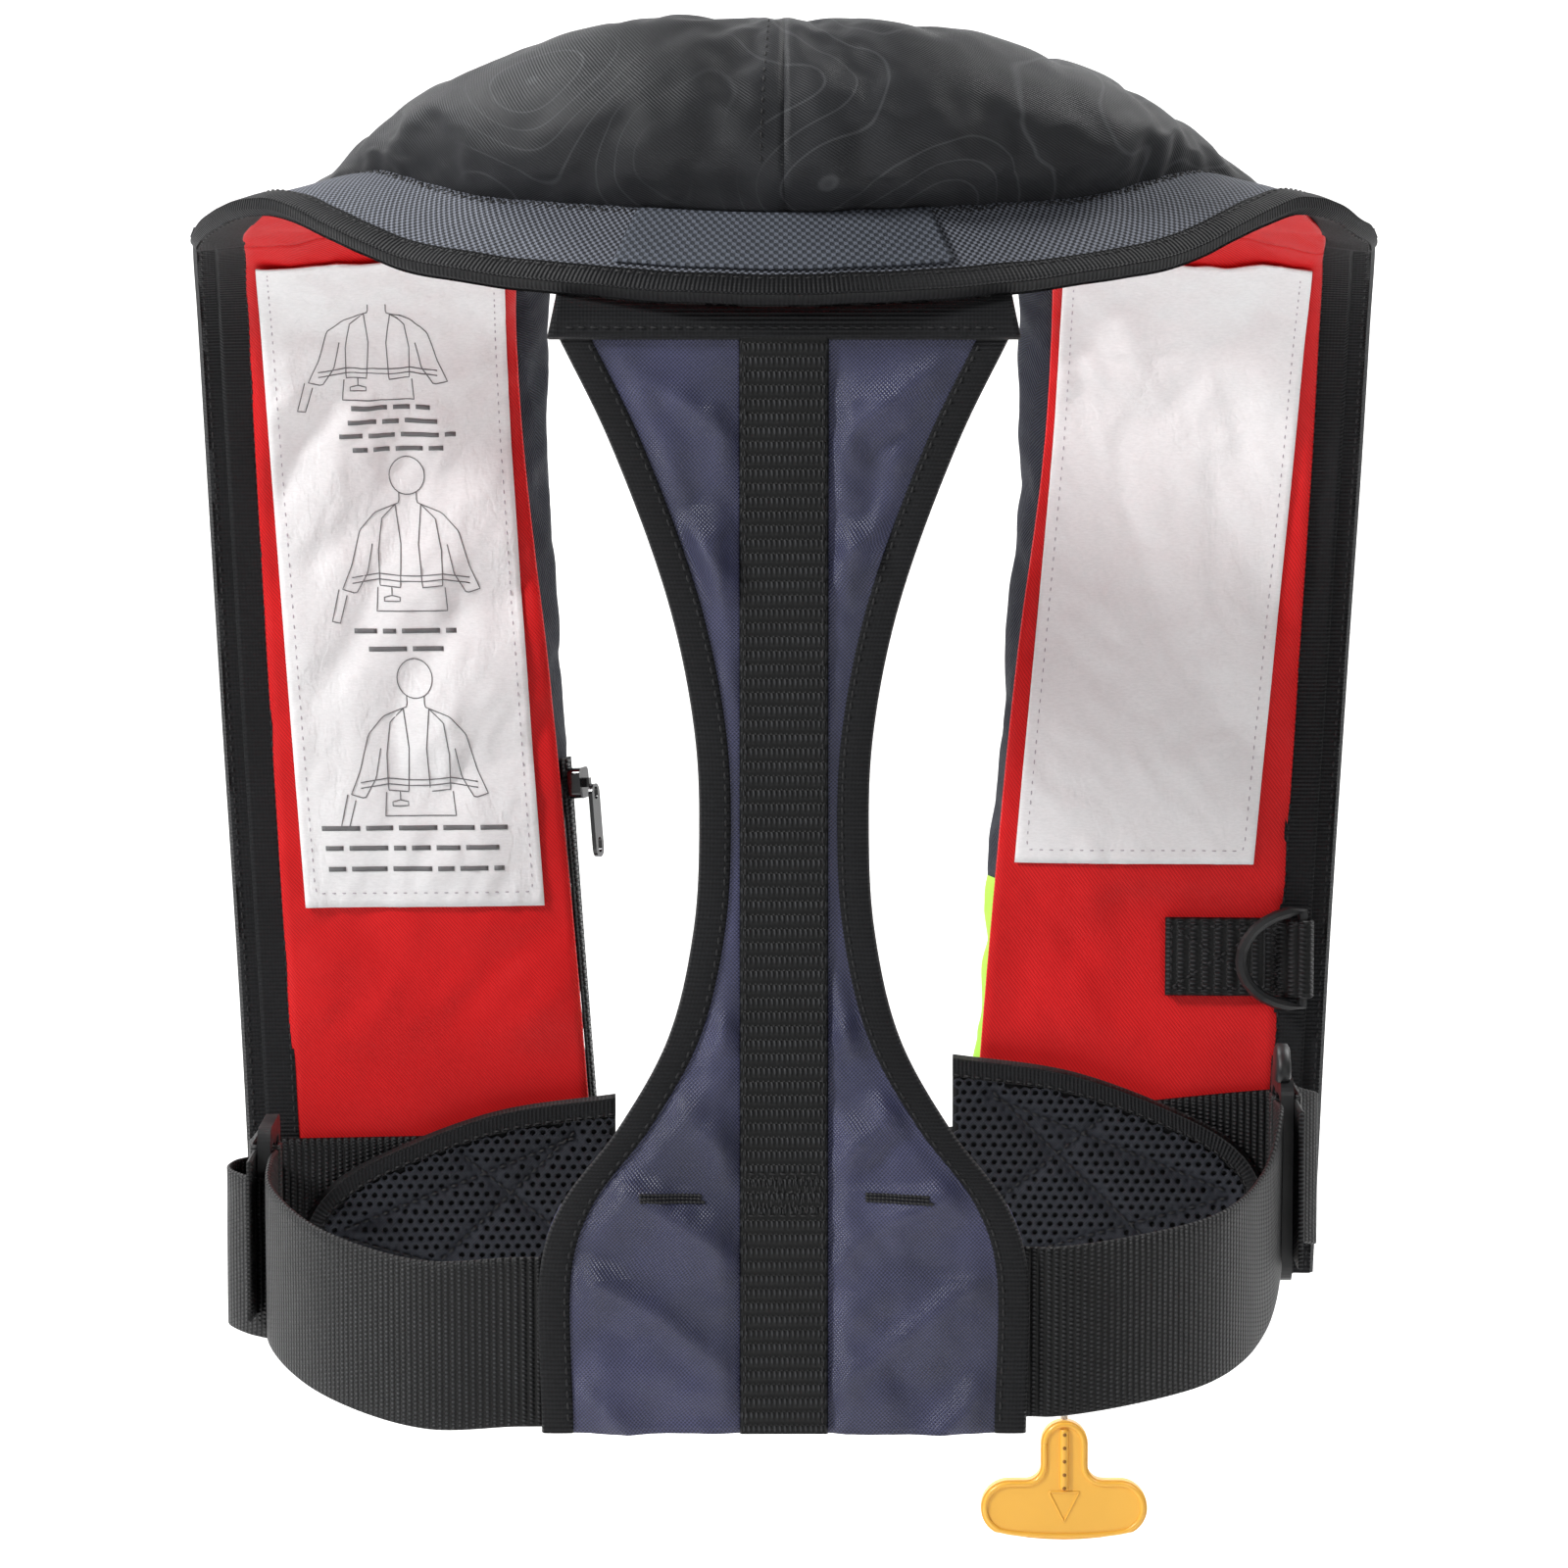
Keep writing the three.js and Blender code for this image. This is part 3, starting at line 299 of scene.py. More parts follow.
def apply_modifiers(obj):
    evaluated = obj.evaluated_get(bpy.context.evaluated_depsgraph_get())
    mesh = bpy.data.meshes.new_from_object(evaluated)
    obj.modifiers.clear()
    obj.data = mesh
    mesh.polygons.foreach_set("use_smooth", [True] * len(mesh.polygons))


def drop_loose(obj):
    """Deletes points that no face uses."""
    work = bmesh.new()
    work.from_mesh(obj.data)
    bmesh.ops.delete(work, geom=[v for v in work.verts if not v.link_faces], context="VERTS")
    work.to_mesh(obj.data)
    work.free()


def modify(obj, kind, **settings):
    modifier = obj.modifiers.new(kind.lower(), kind)
    for name, value in settings.items():
        setattr(modifier, name, value)
    return modifier


def dress(obj, material, stands_for=(), body="jacket"):
    """Gives a piece its material and its body, and hides the CAD nodes it stands for."""
    obj.data.materials.clear()
    obj.data.materials.append(material)
    if body:
        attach(obj, body)
    if stands_for:
        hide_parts(*([stands_for] if isinstance(stands_for, str) else stands_for))
    return obj


def slab(name, faces_of, cloth=None):
    """A closed strip of cloth with rounded edges. faces_of is its two faces, each rows by columns by 3."""
    top, bottom = (np.asarray(f, float) for f in faces_of)
    middle = (top + bottom) / 2
    inset = np.linalg.norm(top[:, 0] - bottom[:, 0], axis=-1, keepdims=True) / 2
    for face in (top, bottom):
        face[:, 0] += unit(face[:, 1] - face[:, 0] + 1e-9) * inset * EDGE_ROUND
        face[:, -1] += unit(face[:, -2] - face[:, -1] + 1e-9) * inset * EDGE_ROUND
    rings = np.concatenate(
        [top, middle[:, -1:], bottom[:, ::-1], middle[:, :1]], axis=1
    )
    flat = None
    if cloth is not None:
        flat = np.concatenate(
            [cloth, cloth[:, -1:], cloth[:, ::-1], cloth[:, :1]], axis=1
        )
    return new_mesh(name, rings, closed_faces(*rings.shape[:2]), flat)


def cloth_grid(points):
    """Each point's place on the flat cloth: across and along, in millimetres."""
    across = np.linalg.norm(np.diff(points, axis=1), axis=-1)
    across = np.concatenate([np.zeros((len(points), 1)), across.cumsum(axis=1)], axis=1)
    across -= across[:, -1:] / 2
    middle = points[:, points.shape[1] // 2]
    along = np.concatenate([[0], np.linalg.norm(np.diff(middle, axis=0), axis=1).cumsum()])
    return np.stack([across, np.broadcast_to(along[:, None], across.shape)], axis=-1)


def band_rows(start, end, spacing=3.0):
    """Stations about spacing millimetres apart."""
    fine = np.linspace(start, end, 200)
    middle = on_band(fine, np.full((200, 1), 50.0), 0)[:, 0]
    run = np.concatenate([[0], np.linalg.norm(np.diff(middle, axis=0), axis=1).cumsum()])
    count = max(2, int(round(run[-1] / spacing)) + 1)
    return np.interp(np.linspace(0, run[-1], count), run, fine)


def band_slab(name, ks, span, v0, v1, columns, relief=None, crown=0.0):
    """A strip along the band. span(width, k) gives its edges, v0 and v1 its faces, and relief moves both."""
    width = stations(ks)[3]
    low, high = span(width, ks)
    u = np.linspace(0, 1, columns + 1)
    s = low[:, None] + (high - low)[:, None] * u
    lift = relief(ks, s) if relief else 0
    swell = crown * np.sin(np.pi * u) ** 0.7
    top = on_band(ks, s, v1 + lift + swell)
    bottom = on_band(ks, s, v0 + lift)
    return slab(name, (top, bottom), cloth_grid(top))


# ---- Materials ----
class Shade:
    """A material under construction, with short ways to join its nodes."""

    def __init__(self, name):
        self.material = bpy.data.materials.new(name)
        self.material.use_nodes = True
        self.tree = self.material.node_tree
        self.shader = self.tree.nodes["Principled BSDF"]

    def node(self, kind, **settings):
        made = self.tree.nodes.new("ShaderNode" + kind)
        for name, value in settings.items():
            setattr(made, name, value)
        return made

    def put(self, socket, value):
        if isinstance(value, bpy.types.NodeSocket):
            self.tree.links.new(value, socket)
        else:
            socket.default_value = value

    def math(self, operation, *values):
        made = self.node("Math", operation=operation)
        for socket, value in zip(made.inputs, values):
            self.put(socket, value)
        return made.outputs[0]

    def wave(self, along, pitch, shift=0.0):
        """A sine of a place in metres, from 0 to 1."""
        turned = self.math("MULTIPLY", along, 2 * math.pi / (pitch * MM))
        turned = self.math("SINE", self.math("ADD", turned, shift))
        return self.math("MULTIPLY_ADD", turned, 0.5, 0.5)

    def cloth(self):
        """Across and along on the flat cloth."""
        place = self.node("Attribute", attribute_name="cloth").outputs["Vector"]
        split = self.node("SeparateXYZ")
        self.put(split.inputs[0], place)
        return split.outputs[0], split.outputs[1]

    def noise(self, size, detail=3.0, stretch=(1, 1, 1), roughness=0.55):
        """Noise with features about size millimetres wide."""
        mapping = self.node("Mapping")
        self.put(mapping.inputs[0], self.node("TexCoord").outputs["Object"])
        mapping.inputs["Scale"].default_value = stretch
        made = self.node("TexNoise")
        self.put(made.inputs["Vector"], mapping.outputs[0])
        made.inputs["Scale"].default_value = 1 / (size * MM)
        made.inputs["Detail"].default_value = detail
        made.inputs["Roughness"].default_value = roughness
        return made.outputs[0]

    def between(self, value, low, high, out_low=0.0, out_high=1.0):
        made = self.node("MapRange", interpolation_type="SMOOTHSTEP")
        for socket, number in zip(made.inputs, (value, low, high, out_low, out_high)):
            self.put(socket, number)
        return made.outputs[0]

    def mix(self, share, a, b, how="MIX"):
        made = self.node("Mix", data_type="RGBA", blend_type=how)
        self.put(made.inputs["Factor"], share)
        for name, value in (("A", a), ("B", b)):
            socket = [i for i in made.inputs if i.name == name and i.type == "RGBA"][0]
            if isinstance(value, tuple):
                value = (*value, 1)
            self.put(socket, value)
        return [o for o in made.outputs if o.type == "RGBA"][0]

    def toned(self, colour, value):
        """The colour made darker or lighter by a value about 1."""
        grey = self.node("CombineColor")
        for socket in grey.inputs[:3]:
            self.put(socket, value)
        return self.mix(1.0, colour, grey.outputs[0], "MULTIPLY")

    def finish(self, colour, height=None, depth=0.3, roughness=0.7, **fixed):
        self.put(self.shader.inputs["Base Color"], colour)
        self.put(self.shader.inputs["Roughness"], roughness)
        if height is not None:
            bump = self.node("Bump")
            bump.inputs["Distance"].default_value = depth * MM
            bump.inputs["Strength"].default_value = 1.0
            self.put(bump.inputs["Height"], height)
            self.put(self.shader.inputs["Normal"], bump.outputs[0])
        for name, value in fixed.items():
            self.shader.inputs[name.replace("_", " ")].default_value = value
        return self.material


def weave_height(shade, kind, x, y, pitch):
    if kind == "plain":
        return shade.between(
            shade.math(
                "MULTIPLY_ADD",
                shade.math("SUBTRACT", shade.wave(x, pitch), 0.5),
                shade.math("SUBTRACT", shade.wave(y, pitch), 0.5),
                0.25,
            ),
            0.0,
            0.5,
        )
    if kind == "twill":
        slope = shade.math("ADD", x, shade.math("MULTIPLY", y, 0.8))
        line = shade.wave(slope, pitch)
        thread = shade.wave(shade.math("SUBTRACT", x, y), pitch * 0.7)
        return shade.math("MULTIPLY_ADD", thread, 0.3, shade.math("MULTIPLY", line, 0.7))
    if kind == "rib":
        thread = shade.wave(x, pitch * 0.8)
        return shade.math(
            "MULTIPLY_ADD", thread, 0.2, shade.math("MULTIPLY", shade.wave(y, pitch), 0.8)
        )
    if kind == "herringbone":
        fold = shade.math("PINGPONG", x, 9 * MM)
        slope = shade.math("ADD", fold, shade.math("MULTIPLY", y, 0.8))
        return shade.wave(slope, pitch)
    raise ValueError(kind)


def fabric(name, dark, light, kind, pitch, depth=0.12, roughness=0.62, mottle=0.25, sheen=0.05, gloss=0.3):
    """Woven cloth: threads in two tones, large soft mottling and a fine relief."""
    shade = Shade(name)
    x, y = shade.cloth()
    height = weave_height(shade, kind, x, y, pitch)
    colour = shade.mix(height, dark, light)
    cloud = shade.between(shade.noise(38, 3), 0.3, 0.7, 1 - mottle, 1.0)
    colour = shade.toned(colour, cloud)
    fine = shade.noise(1.3, 2)
    height = shade.math("MULTIPLY_ADD", fine, 0.25, height)
    return shade.finish(
        colour, height, depth, shade.between(fine, 0, 1, roughness - 0.06, roughness + 0.08),
        Sheen_Weight=sheen, Sheen_Roughness=0.45, Specular_IOR_Level=gloss,
    )


def webbing_material(name, row, bead, dark=(0.002, 0.0022, 0.0025), light=(0.05, 0.052, 0.056)):
    """Webbing: rows of small beads across it."""
    shade = Shade(name)
    x, y = shade.cloth()
    rows = shade.wave(y, row)
    cell = shade.math("FLOOR", shade.math("DIVIDE", y, row * MM))
    shifted = shade.math("MULTIPLY_ADD", cell, bead * MM / 2, x)
    beads = shade.wave(shifted, bead)
    height = shade.math("MULTIPLY", rows, shade.math("MULTIPLY_ADD", beads, 0.8, 0.2))
    colour = shade.mix(shade.between(height, 0.35, 1.0), dark, light)
    worn = shade.between(shade.noise(9, 4), 0.35, 0.75, 0.75, 1.15)
    colour = shade.toned(colour, worn)
    return shade.finish(colour, height, 0.7, 0.5, Specular_IOR_Level=0.3)


def moulded(name, colour, roughness, grain=0.02, coat=0.0, metallic=0.0):
    """Moulded plastic or metal: even colour, faint grain and handling marks."""
    shade = Shade(name)
    smear = shade.between(shade.noise(14, 4), 0.35, 0.7, -0.05, 0.08)
    rough_now = shade.math("ADD", smear, roughness)
    patches = shade.between(shade.noise(22, 2), 0.3, 0.7, 0, 0.25)
    tint = shade.mix(patches, colour, tuple(c * 0.8 for c in colour))
    gloss = {"Coat_Weight": coat, "Coat_Roughness": 0.15, "Metallic": metallic}
    return shade.finish(tint, shade.noise(0.5, 2), grain, rough_now, **gloss)


def contour_print():
    """Charcoal cloth with a tone-on-tone print of thin contour lines."""
    shade = Shade("printed_nylon")
    x, y = shade.cloth()
    height = weave_height(shade, "twill", x, y, 0.95)
    colour = shade.mix(height, (0.008, 0.0085, 0.010), (0.027, 0.0285, 0.033))
    hills = shade.noise(58, 0.6, roughness=0.4)
    band = shade.math("PINGPONG", shade.math("MULTIPLY", hills, 14.0), 0.5)
    line = shade.between(band, 0.0, 0.07, 1.0, 0.0)
    patches = shade.between(shade.noise(95, 0), 0.38, 0.46)
    line = shade.math("MULTIPLY", shade.math("MULTIPLY", line, patches), 0.8)
    colour = shade.mix(line, colour, (0.055, 0.057, 0.062))
    cloud = shade.between(shade.noise(45, 3), 0.3, 0.7, 0.75, 1.1)
    colour = shade.toned(colour, cloud)
    fine = shade.noise(1.1, 2)
    relief = shade.math("MULTIPLY_ADD", fine, 0.3, height)
    return shade.finish(colour, relief, 0.1, 0.5, Sheen_Weight=0.06, Specular_IOR_Level=0.3)


def basket(name, pitch, dark, light):
    """Coarse basket weave: pale squares on a dark ground."""
    shade = Shade(name)
    x, y = shade.cloth()
    over = shade.math("MULTIPLY", shade.wave(x, pitch), shade.wave(y, pitch))
    under = shade.math(
        "MULTIPLY", shade.wave(x, pitch, math.pi), shade.wave(y, pitch, math.pi)
    )
    height = shade.between(shade.math("ADD", over, under), 0.28, 0.75)
    threads = shade.wave(shade.math("ADD", x, y), pitch / 3)
    height = shade.math("MULTIPLY_ADD", threads, 0.15, height)
    colour = shade.mix(height, dark, light)
    return shade.finish(colour, height, 0.35, 0.65, Specular_IOR_Level=0.35)


def coated_nylon():
    """Indigo coated nylon: a clear plain weave, and violet patches of painted sheen along its folds."""
    shade = Shade("coated_nylon")
    x, y = shade.cloth()
    height = weave_height(shade, "plain", x, y, 1.15)
    # The violet patches are painted sheen: lighter, bluer colour where the nylon would catch the light.
    patches = shade.between(shade.noise(30, 2.5, stretch=(1.2, 1, 0.8)), 0.3, 0.75)
    dark = shade.mix(patches, (0.010, 0.011, 0.022), (0.016, 0.0175, 0.040))
    light = shade.mix(patches, (0.052, 0.056, 0.115), (0.082, 0.085, 0.185))
    colour = shade.mix(height, dark, light)
    return shade.finish(colour, height, 0.16, 0.32, Specular_IOR_Level=0.5)


def creased_film():
    """White spun film: fine creases and a faint fibre pattern."""
    shade = Shade("label_film")
    crease = shade.node("TexVoronoi", feature="DISTANCE_TO_EDGE")
    warp = shade.node("VectorMath", operation="ADD")
    shade.put(warp.inputs[0], shade.node("TexCoord").outputs["Object"])
    wobble = shade.node("TexNoise")
    wobble.inputs["Scale"].default_value = 25
    scaled = shade.node("VectorMath", operation="SCALE")
    shade.put(scaled.inputs[0], wobble.outputs["Color"])
    scaled.inputs["Scale"].default_value = 0.02
    shade.put(warp.inputs[1], scaled.outputs[0])
    shade.put(crease.inputs["Vector"], warp.outputs[0])
    crease.inputs["Scale"].default_value = 22
    fold = shade.between(crease.outputs["Distance"], 0.0, 0.09, 0.0, 1.0)
    fibres = shade.noise(1.6, 4, stretch=(1, 1, 3))
    height = shade.math("MULTIPLY_ADD", fibres, 0.15, shade.math("MULTIPLY", fold, 0.16))
    height = shade.math("MULTIPLY_ADD", shade.noise(16, 3), 1.2, height)
    colour = shade.mix(shade.between(fibres, 0.3, 0.7), (0.84, 0.845, 0.85), (0.90, 0.905, 0.91))
    return shade.finish(colour, height, 0.5, 0.55, Sheen_Weight=0.05)


MATERIALS = {
    "printed_fabric": contour_print(),
    "navy_fabric": fabric(
        "navy_nylon", (0.003, 0.0042, 0.01), (0.011, 0.0145, 0.034), "twill", 1.0, sheen=0.0
    ),
    "navy_herringbone": fabric(
        "navy_herringbone", (0.002, 0.0028, 0.007), (0.012, 0.0155, 0.036), "herringbone", 1.3, 0.2, sheen=0.0
    ),
    "hivis_fabric": fabric("hivis_nylon", (0.40, 0.86, 0.04), (0.56, 1.0, 0.10), "twill", 1.0, sheen=0.0),
    "red_lining": fabric(
        "red_twill", (0.52, 0.003, 0.005), (0.86, 0.013, 0.015), "twill", 1.15,
        roughness=0.5, mottle=0.12, sheen=0.0, gloss=0.25,
    ),
    "woven_trim": basket("grey_basket", 2.0, (0.008, 0.009, 0.012), (0.21, 0.225, 0.27)),
    "woven_patch": basket("patch_basket", 2.6, (0.03, 0.034, 0.042), (0.13, 0.145, 0.18)),
    "binding_tape": fabric(
        "grosgrain", (0.003, 0.0032, 0.0038), (0.013, 0.0135, 0.0155), "rib", 1.3, 0.3, 0.6, 0.2, gloss=0.22
    ),
    "label_film": creased_film(),
    "spacer_mesh": fabric("spacer_knit", (0.006, 0.007, 0.011), (0.026, 0.03, 0.042), "plain", 0.9, 0.15),
    # spacer_shadow is painted shade: near-black cloth seen through the knit's holes.
    "spacer_shadow": fabric("spacer_painted_shade", (0.002, 0.0023, 0.003), (0.005, 0.0055, 0.007), "plain", 0.9),
    "coated_nylon": coated_nylon(),
    "webbing": webbing_material("belt_webbing", 2.2, 1.35),
    "strap_webbing": webbing_material("strap_webbing", 4.0, 1.5),
    "black_plastic": moulded("black_acetal", (0.012, 0.0125, 0.0135), 0.38),
    "zipper_enamel": moulded("black_enamel", (0.006, 0.006, 0.007), 0.12, 0.005, coat=0.6),
    "steel": moulded("satin_steel", (0.55, 0.56, 0.57), 0.3, metallic=1.0),
    "yellow_plastic": moulded("yellow_plastic", (0.95, 0.50, 0.06), 0.36, 0.015, coat=0.15),
    "bladder_film": fabric("bladder_film", (0.70, 0.42, 0.01), (0.86, 0.56, 0.03), "plain", 0.8),
    "cord": fabric("white_braid", (0.55, 0.53, 0.48), (0.86, 0.84, 0.78), "herringbone", 1.2),
    "black_thread": moulded("black_thread", (0.010, 0.010, 0.011), 0.55, 0.05),
    "grey_thread": moulded("grey_thread", (0.10, 0.105, 0.115), 0.6, 0.05),
    "pale_thread": moulded("pale_thread", (0.50, 0.45, 0.50), 0.6, 0.05),
    "pin_shadow": moulded("pin_shadow", (0.30, 0.12, 0.01), 0.6),
    "label_ink": moulded("label_ink", (0.16, 0.16, 0.165), 0.6, 0.0),
}

# ---- The lanyard comes first ----
LANYARD_X, LANYARD_Y = 92.5, 113.5
LANYARD_TOP, LANYARD_FOOT = -299.6, -388.0


def tube(name, line, radius, sides=10):
    """A round closed tube along a line of points."""
    line = np.asarray(line, float)
    way = unit(np.gradient(line, axis=0))
    side = unit(np.cross(way, [0.0, 1.0, 0.013]))
    other = np.cross(way, side)
    angle = np.linspace(0, 2 * np.pi, sides, endpoint=False)[None, :, None]
    radius = np.broadcast_to(radius, len(line))[:, None, None]
    rings = line[:, None] + radius * (side[:, None] * np.cos(angle) + other[:, None] * np.sin(angle))
    run = np.concatenate([[0], np.linalg.norm(np.diff(line, axis=0), axis=1).cumsum()])
    around = np.linspace(0, 2 * np.pi, sides)[None] * radius[:, :, 0]
    cloth = np.stack(np.broadcast_arrays(around, run[:, None]), axis=-1)
    return new_mesh(name, rings, closed_faces(len(line), sides), cloth)


lanyard_line = [(LANYARD_X, LANYARD_Y, z) for z in np.linspace(LANYARD_TOP, LANYARD_FOOT, 30)]
lanyard = tube("lanyard_cord", lanyard_line, LANYARD_RADIUS)
dress(lanyard, MATERIALS["cord"], "pull_lanyard", "lanyard")


# ---- Thread ----
STITCH_SIDES = 6


def stitch_mesh(name, runs, radius=0.32, length=2.4, pitch=3.4):
    """Short raised threads along lines. Each run is (points, outward directions), both n by 3."""
    sections = []
    for line, out in runs:
        line, out = np.asarray(line, float), np.asarray(out, float)
        run = np.concatenate([[0], np.linalg.norm(np.diff(line, axis=0), axis=1).cumsum()])
        starts = np.arange(0.3, run[-1] - length, pitch)
        for start in starts:
            at = start + np.linspace(0, 1, 4) * length
            spine = np.stack([np.interp(at, run, line[:, i]) for i in range(3)], axis=-1)
            lift = np.stack([np.interp(at, run, out[:, i]) for i in range(3)], axis=-1)
            lift = unit(lift)
            spine = spine + lift * (radius * np.array([-0.9, 0.35, 0.35, -0.9]))[:, None]
            way = unit(np.gradient(spine, axis=0))
            side = unit(np.cross(way, lift))
            other = np.cross(side, way)
            thick = radius * np.array([0.55, 1, 1, 0.55])[:, None, None]
            angle = np.linspace(0, 2 * np.pi, STITCH_SIDES, endpoint=False)[None, :, None]
            round_it = side[:, None] * np.cos(angle) + other[:, None] * np.sin(angle)
            sections.append(spine[:, None] + thick * round_it)
    return new_mesh(name, *bars(sections))


def thread(name, runs, colour="black_thread", slot="binding_tape", body="jacket", **sizes):
    return dress(stitch_mesh(name, runs, **sizes), MATERIALS[colour], (), body)


def surface_of(*objects):
    """A search tree over the pieces' faces, for laying thread on them."""
    points, faces = [], []
    for o in objects:
        base = len(points)
        points += [v.co / MM for v in o.data.vertices]
        faces += [[base + i for i in p.vertices] for p in o.data.polygons]
    return BVHTree.FromPolygons(points, faces)


def laid(tree, line, out, reach=14.0):
    """The line's points moved onto the surface, searched inwards from outside."""
    found = []
    for p, d in zip(np.asarray(line, float), np.asarray(out, float)):
        d = Vector(d).normalized()
        hit = tree.ray_cast(Vector(p) + d * reach, -d, 2.5 * reach)[0]
        found.append(hit if hit is not None else Vector(p))
    return np.array(found)


def band_line(ks, s, v, tree=None, body_side=False):
    """A line along the band with its outward directions, laid on a surface if there is one."""
    line = on_band(ks, np.asarray(s, float)[:, None], np.asarray(v, float))[:, 0]
    out = stations(ks)[2] * (-1 if body_side else 1)
    if tree:
        line = laid(tree, line, out)
    return line, out


# ---- Padded covers: blown up by a cloth simulation between their sewn edges ----
PUFF = {"frames": 20, "pressure": 3.2, "grow": -0.035, "cap": 5.0}


def inflate(obj, held, cap):
    """Blows the shell up against its held edges; no point moves further than the cap, in millimetres."""
    group = obj.vertex_groups.new(name="held")
    for weight in (1.0, 0.5):
        group.add([i for i, w in held.items() if w == weight], weight, "REPLACE")
    rest = np.array([v.co for v in obj.data.vertices])
    cloth = modify(obj, "CLOTH")
    cloth.settings.quality = 5
    cloth.settings.mass = 0.25
    cloth.settings.tension_stiffness = 12
    cloth.settings.compression_stiffness = 12
    cloth.settings.bending_stiffness = 0.35
    cloth.settings.vertex_group_mass = "held"
    cloth.settings.shrink_min = PUFF["grow"]
    cloth.settings.use_pressure = True
    cloth.settings.uniform_pressure_force = PUFF["pressure"]
    cloth.settings.effector_weights.gravity = 0
    cloth.collision_settings.use_collision = False
    cloth.collision_settings.use_self_collision = False
    cloth.point_cache.frame_start = 1
    cloth.point_cache.frame_end = PUFF["frames"]
    scene = bpy.context.scene
    for number in range(1, PUFF["frames"] + 1):
        scene.frame_set(number)
    evaluated = obj.evaluated_get(bpy.context.evaluated_depsgraph_get())
    moved = np.array([v.co for v in evaluated.data.vertices])
    obj.modifiers.clear()
    obj.vertex_groups.clear()
    scene.frame_set(1)
    step = moved - rest
    size = np.linalg.norm(step, axis=1, keepdims=True)
    limit = cap * MM
    step *= limit * np.tanh(size / limit) / np.maximum(size, 1e-9)
    obj.data.vertices.foreach_set("co", (rest + step).ravel())
    obj.data.update()


def cover(name, start, end, node, finish, slot, cap=PUFF["cap"], spacing=4.0, columns=40):
    """A padded cover along the band from its sewn inner edge over its rounded top to its outer edge."""
    ks = band_rows(start, end, spacing)
    width = cover_width(stations(ks)[3], ks)[:, None]
    puff, thick = bulge(ks)[:, None], band_thick(ks)[:, None]
    angle = np.linspace(0, np.pi, columns + 1)[None]
    s = lerp(-puff, width, (1 - np.cos(angle)) / 2)
    v = thick * (SIDE_SHARE + (1 - SIDE_SHARE) * np.sin(angle) ** 0.8)
    side = np.linspace(0, 1, 4)[None, :-1]
    rows = len(ks)
    s = np.concatenate([-puff * side, s, np.broadcast_to(width, (rows, 3))], axis=1)
    v = np.concatenate([thick * SIDE_SHARE * side, v, thick * SIDE_SHARE * side[:, ::-1]], axis=1)
    v = np.maximum(v, 0.15)
    points = on_band(ks, s, v)
    count = points.shape[1]
    body = on_band(ks, s * 0 + width / 2, 8)
    out = unit(points - body)
    ease = smoothstep(np.minimum(v, 14), 1, 12)
    folds = 1.6 * rough(points, 42, 1) + 0.7 * rough(points, 15, 2)
    ends = np.minimum(np.arange(rows), np.arange(rows)[::-1])[:, None] * spacing
    points = points + out * (folds * ease * smoothstep(ends, 0, 12))[..., None]
    obj = new_mesh(name, points, strip_faces(rows, count), cloth_grid(points))
    held = {}
    for i in range(rows):
        for j in range(count):
            if i in (0, rows - 1) or j in (0, count - 1):
                held[i * count + j] = 1.0
            elif j in (1, count - 2):
                held[i * count + j] = 0.5
    inflate(obj, held, cap)
    modify(obj, "SUBSURF", levels=1, render_levels=1)
    modify(obj, "SOLIDIFY", thickness=1.0 * MM, offset=-1.0)
    apply_modifiers(obj)
    dress(obj, MATERIALS[finish], node)
    return obj


k_hivis = [station_at(1, z) for z in HIVIS]
LEFT_SHOULDER = LAST - SHOULDER
printed = {"finish": "printed_fabric", "slot": "printed_fabric", "cap": 2.5}
navy = {"finish": "navy_herringbone", "slot": "navy_fabric"}
low, high = k_hivis
collar_right = cover("collar_shell_right", SHOULDER, CENTRE, "collar_cover_right", **printed)
collar_left = cover("collar_shell_left", CENTRE, LEFT_SHOULDER, "collar_cover_left", **printed)
cover("chest_shell_right", high, SHOULDER, "chest_cover_right", **navy)
cover("hivis_shell", low, high, "hivis_panel", "hivis_fabric", "hivis_fabric")
cover("inflator_shell", 0.0, low, "inflator_cover", "navy_fabric", "navy_fabric")
cover("chest_shell_left", LEFT_SHOULDER, LAST, "chest_cover_left", **navy)


# ---- Red lining, labels and edge tapes ----
def lining_relief(ks, s):
    """Soft folds of the lining towards the body, flat under the webbing that is sewn on it."""
    points = on_band(ks, s, 0)
    z, x = points[..., 2], points[..., 0]
    slant = points.copy()
    slant[..., 2] += 0.9 * np.abs(x)
    folds = np.abs(rough(slant * [1, 1, 0.8], 42, 4, 1)) * 5.5 + 1.3 * np.abs(rough(slant, 15, 5))
    free = smoothstep(z, -268, -246)
    tab = smoothstep(np.abs(z + 231), 16, 26) + (1 - smoothstep(x, 95, 112))
    neck = 1 - towards_neck(ks)[:, None] * 0.8
    return -folds * free * np.clip(tab, 0, 1) * neck


def lining(name, start, end, node, across):
    ks = band_rows(start, end)
    span = lambda w, k: (np.full_like(w, -1.2), backing_width(w, k) + TUCK)
    obj = band_slab(name, ks, span, BODY_FACE, -GAP, across, lining_relief)
    dress(obj, MATERIALS["red_lining"], node)
    return obj


lining("lining_right", 0.0, SHOULDER, "backing_right", 30)
lining("lining_left", LEFT_SHOULDER, LAST, "backing_left", 30)
lining("lining_collar", SHOULDER, LEFT_SHOULDER, "backing_collar", 30)

LABELS = {
    "right": {"low": -201, "high": -1, "width": 77, "inset_low": 8, "inset_high": 0.5},
    "left": {"low": -215, "high": -1, "width": 77, "inset_low": 5, "inset_high": 0.5},
}
LABEL_TOP = BODY_FACE - LOOSE_GAP


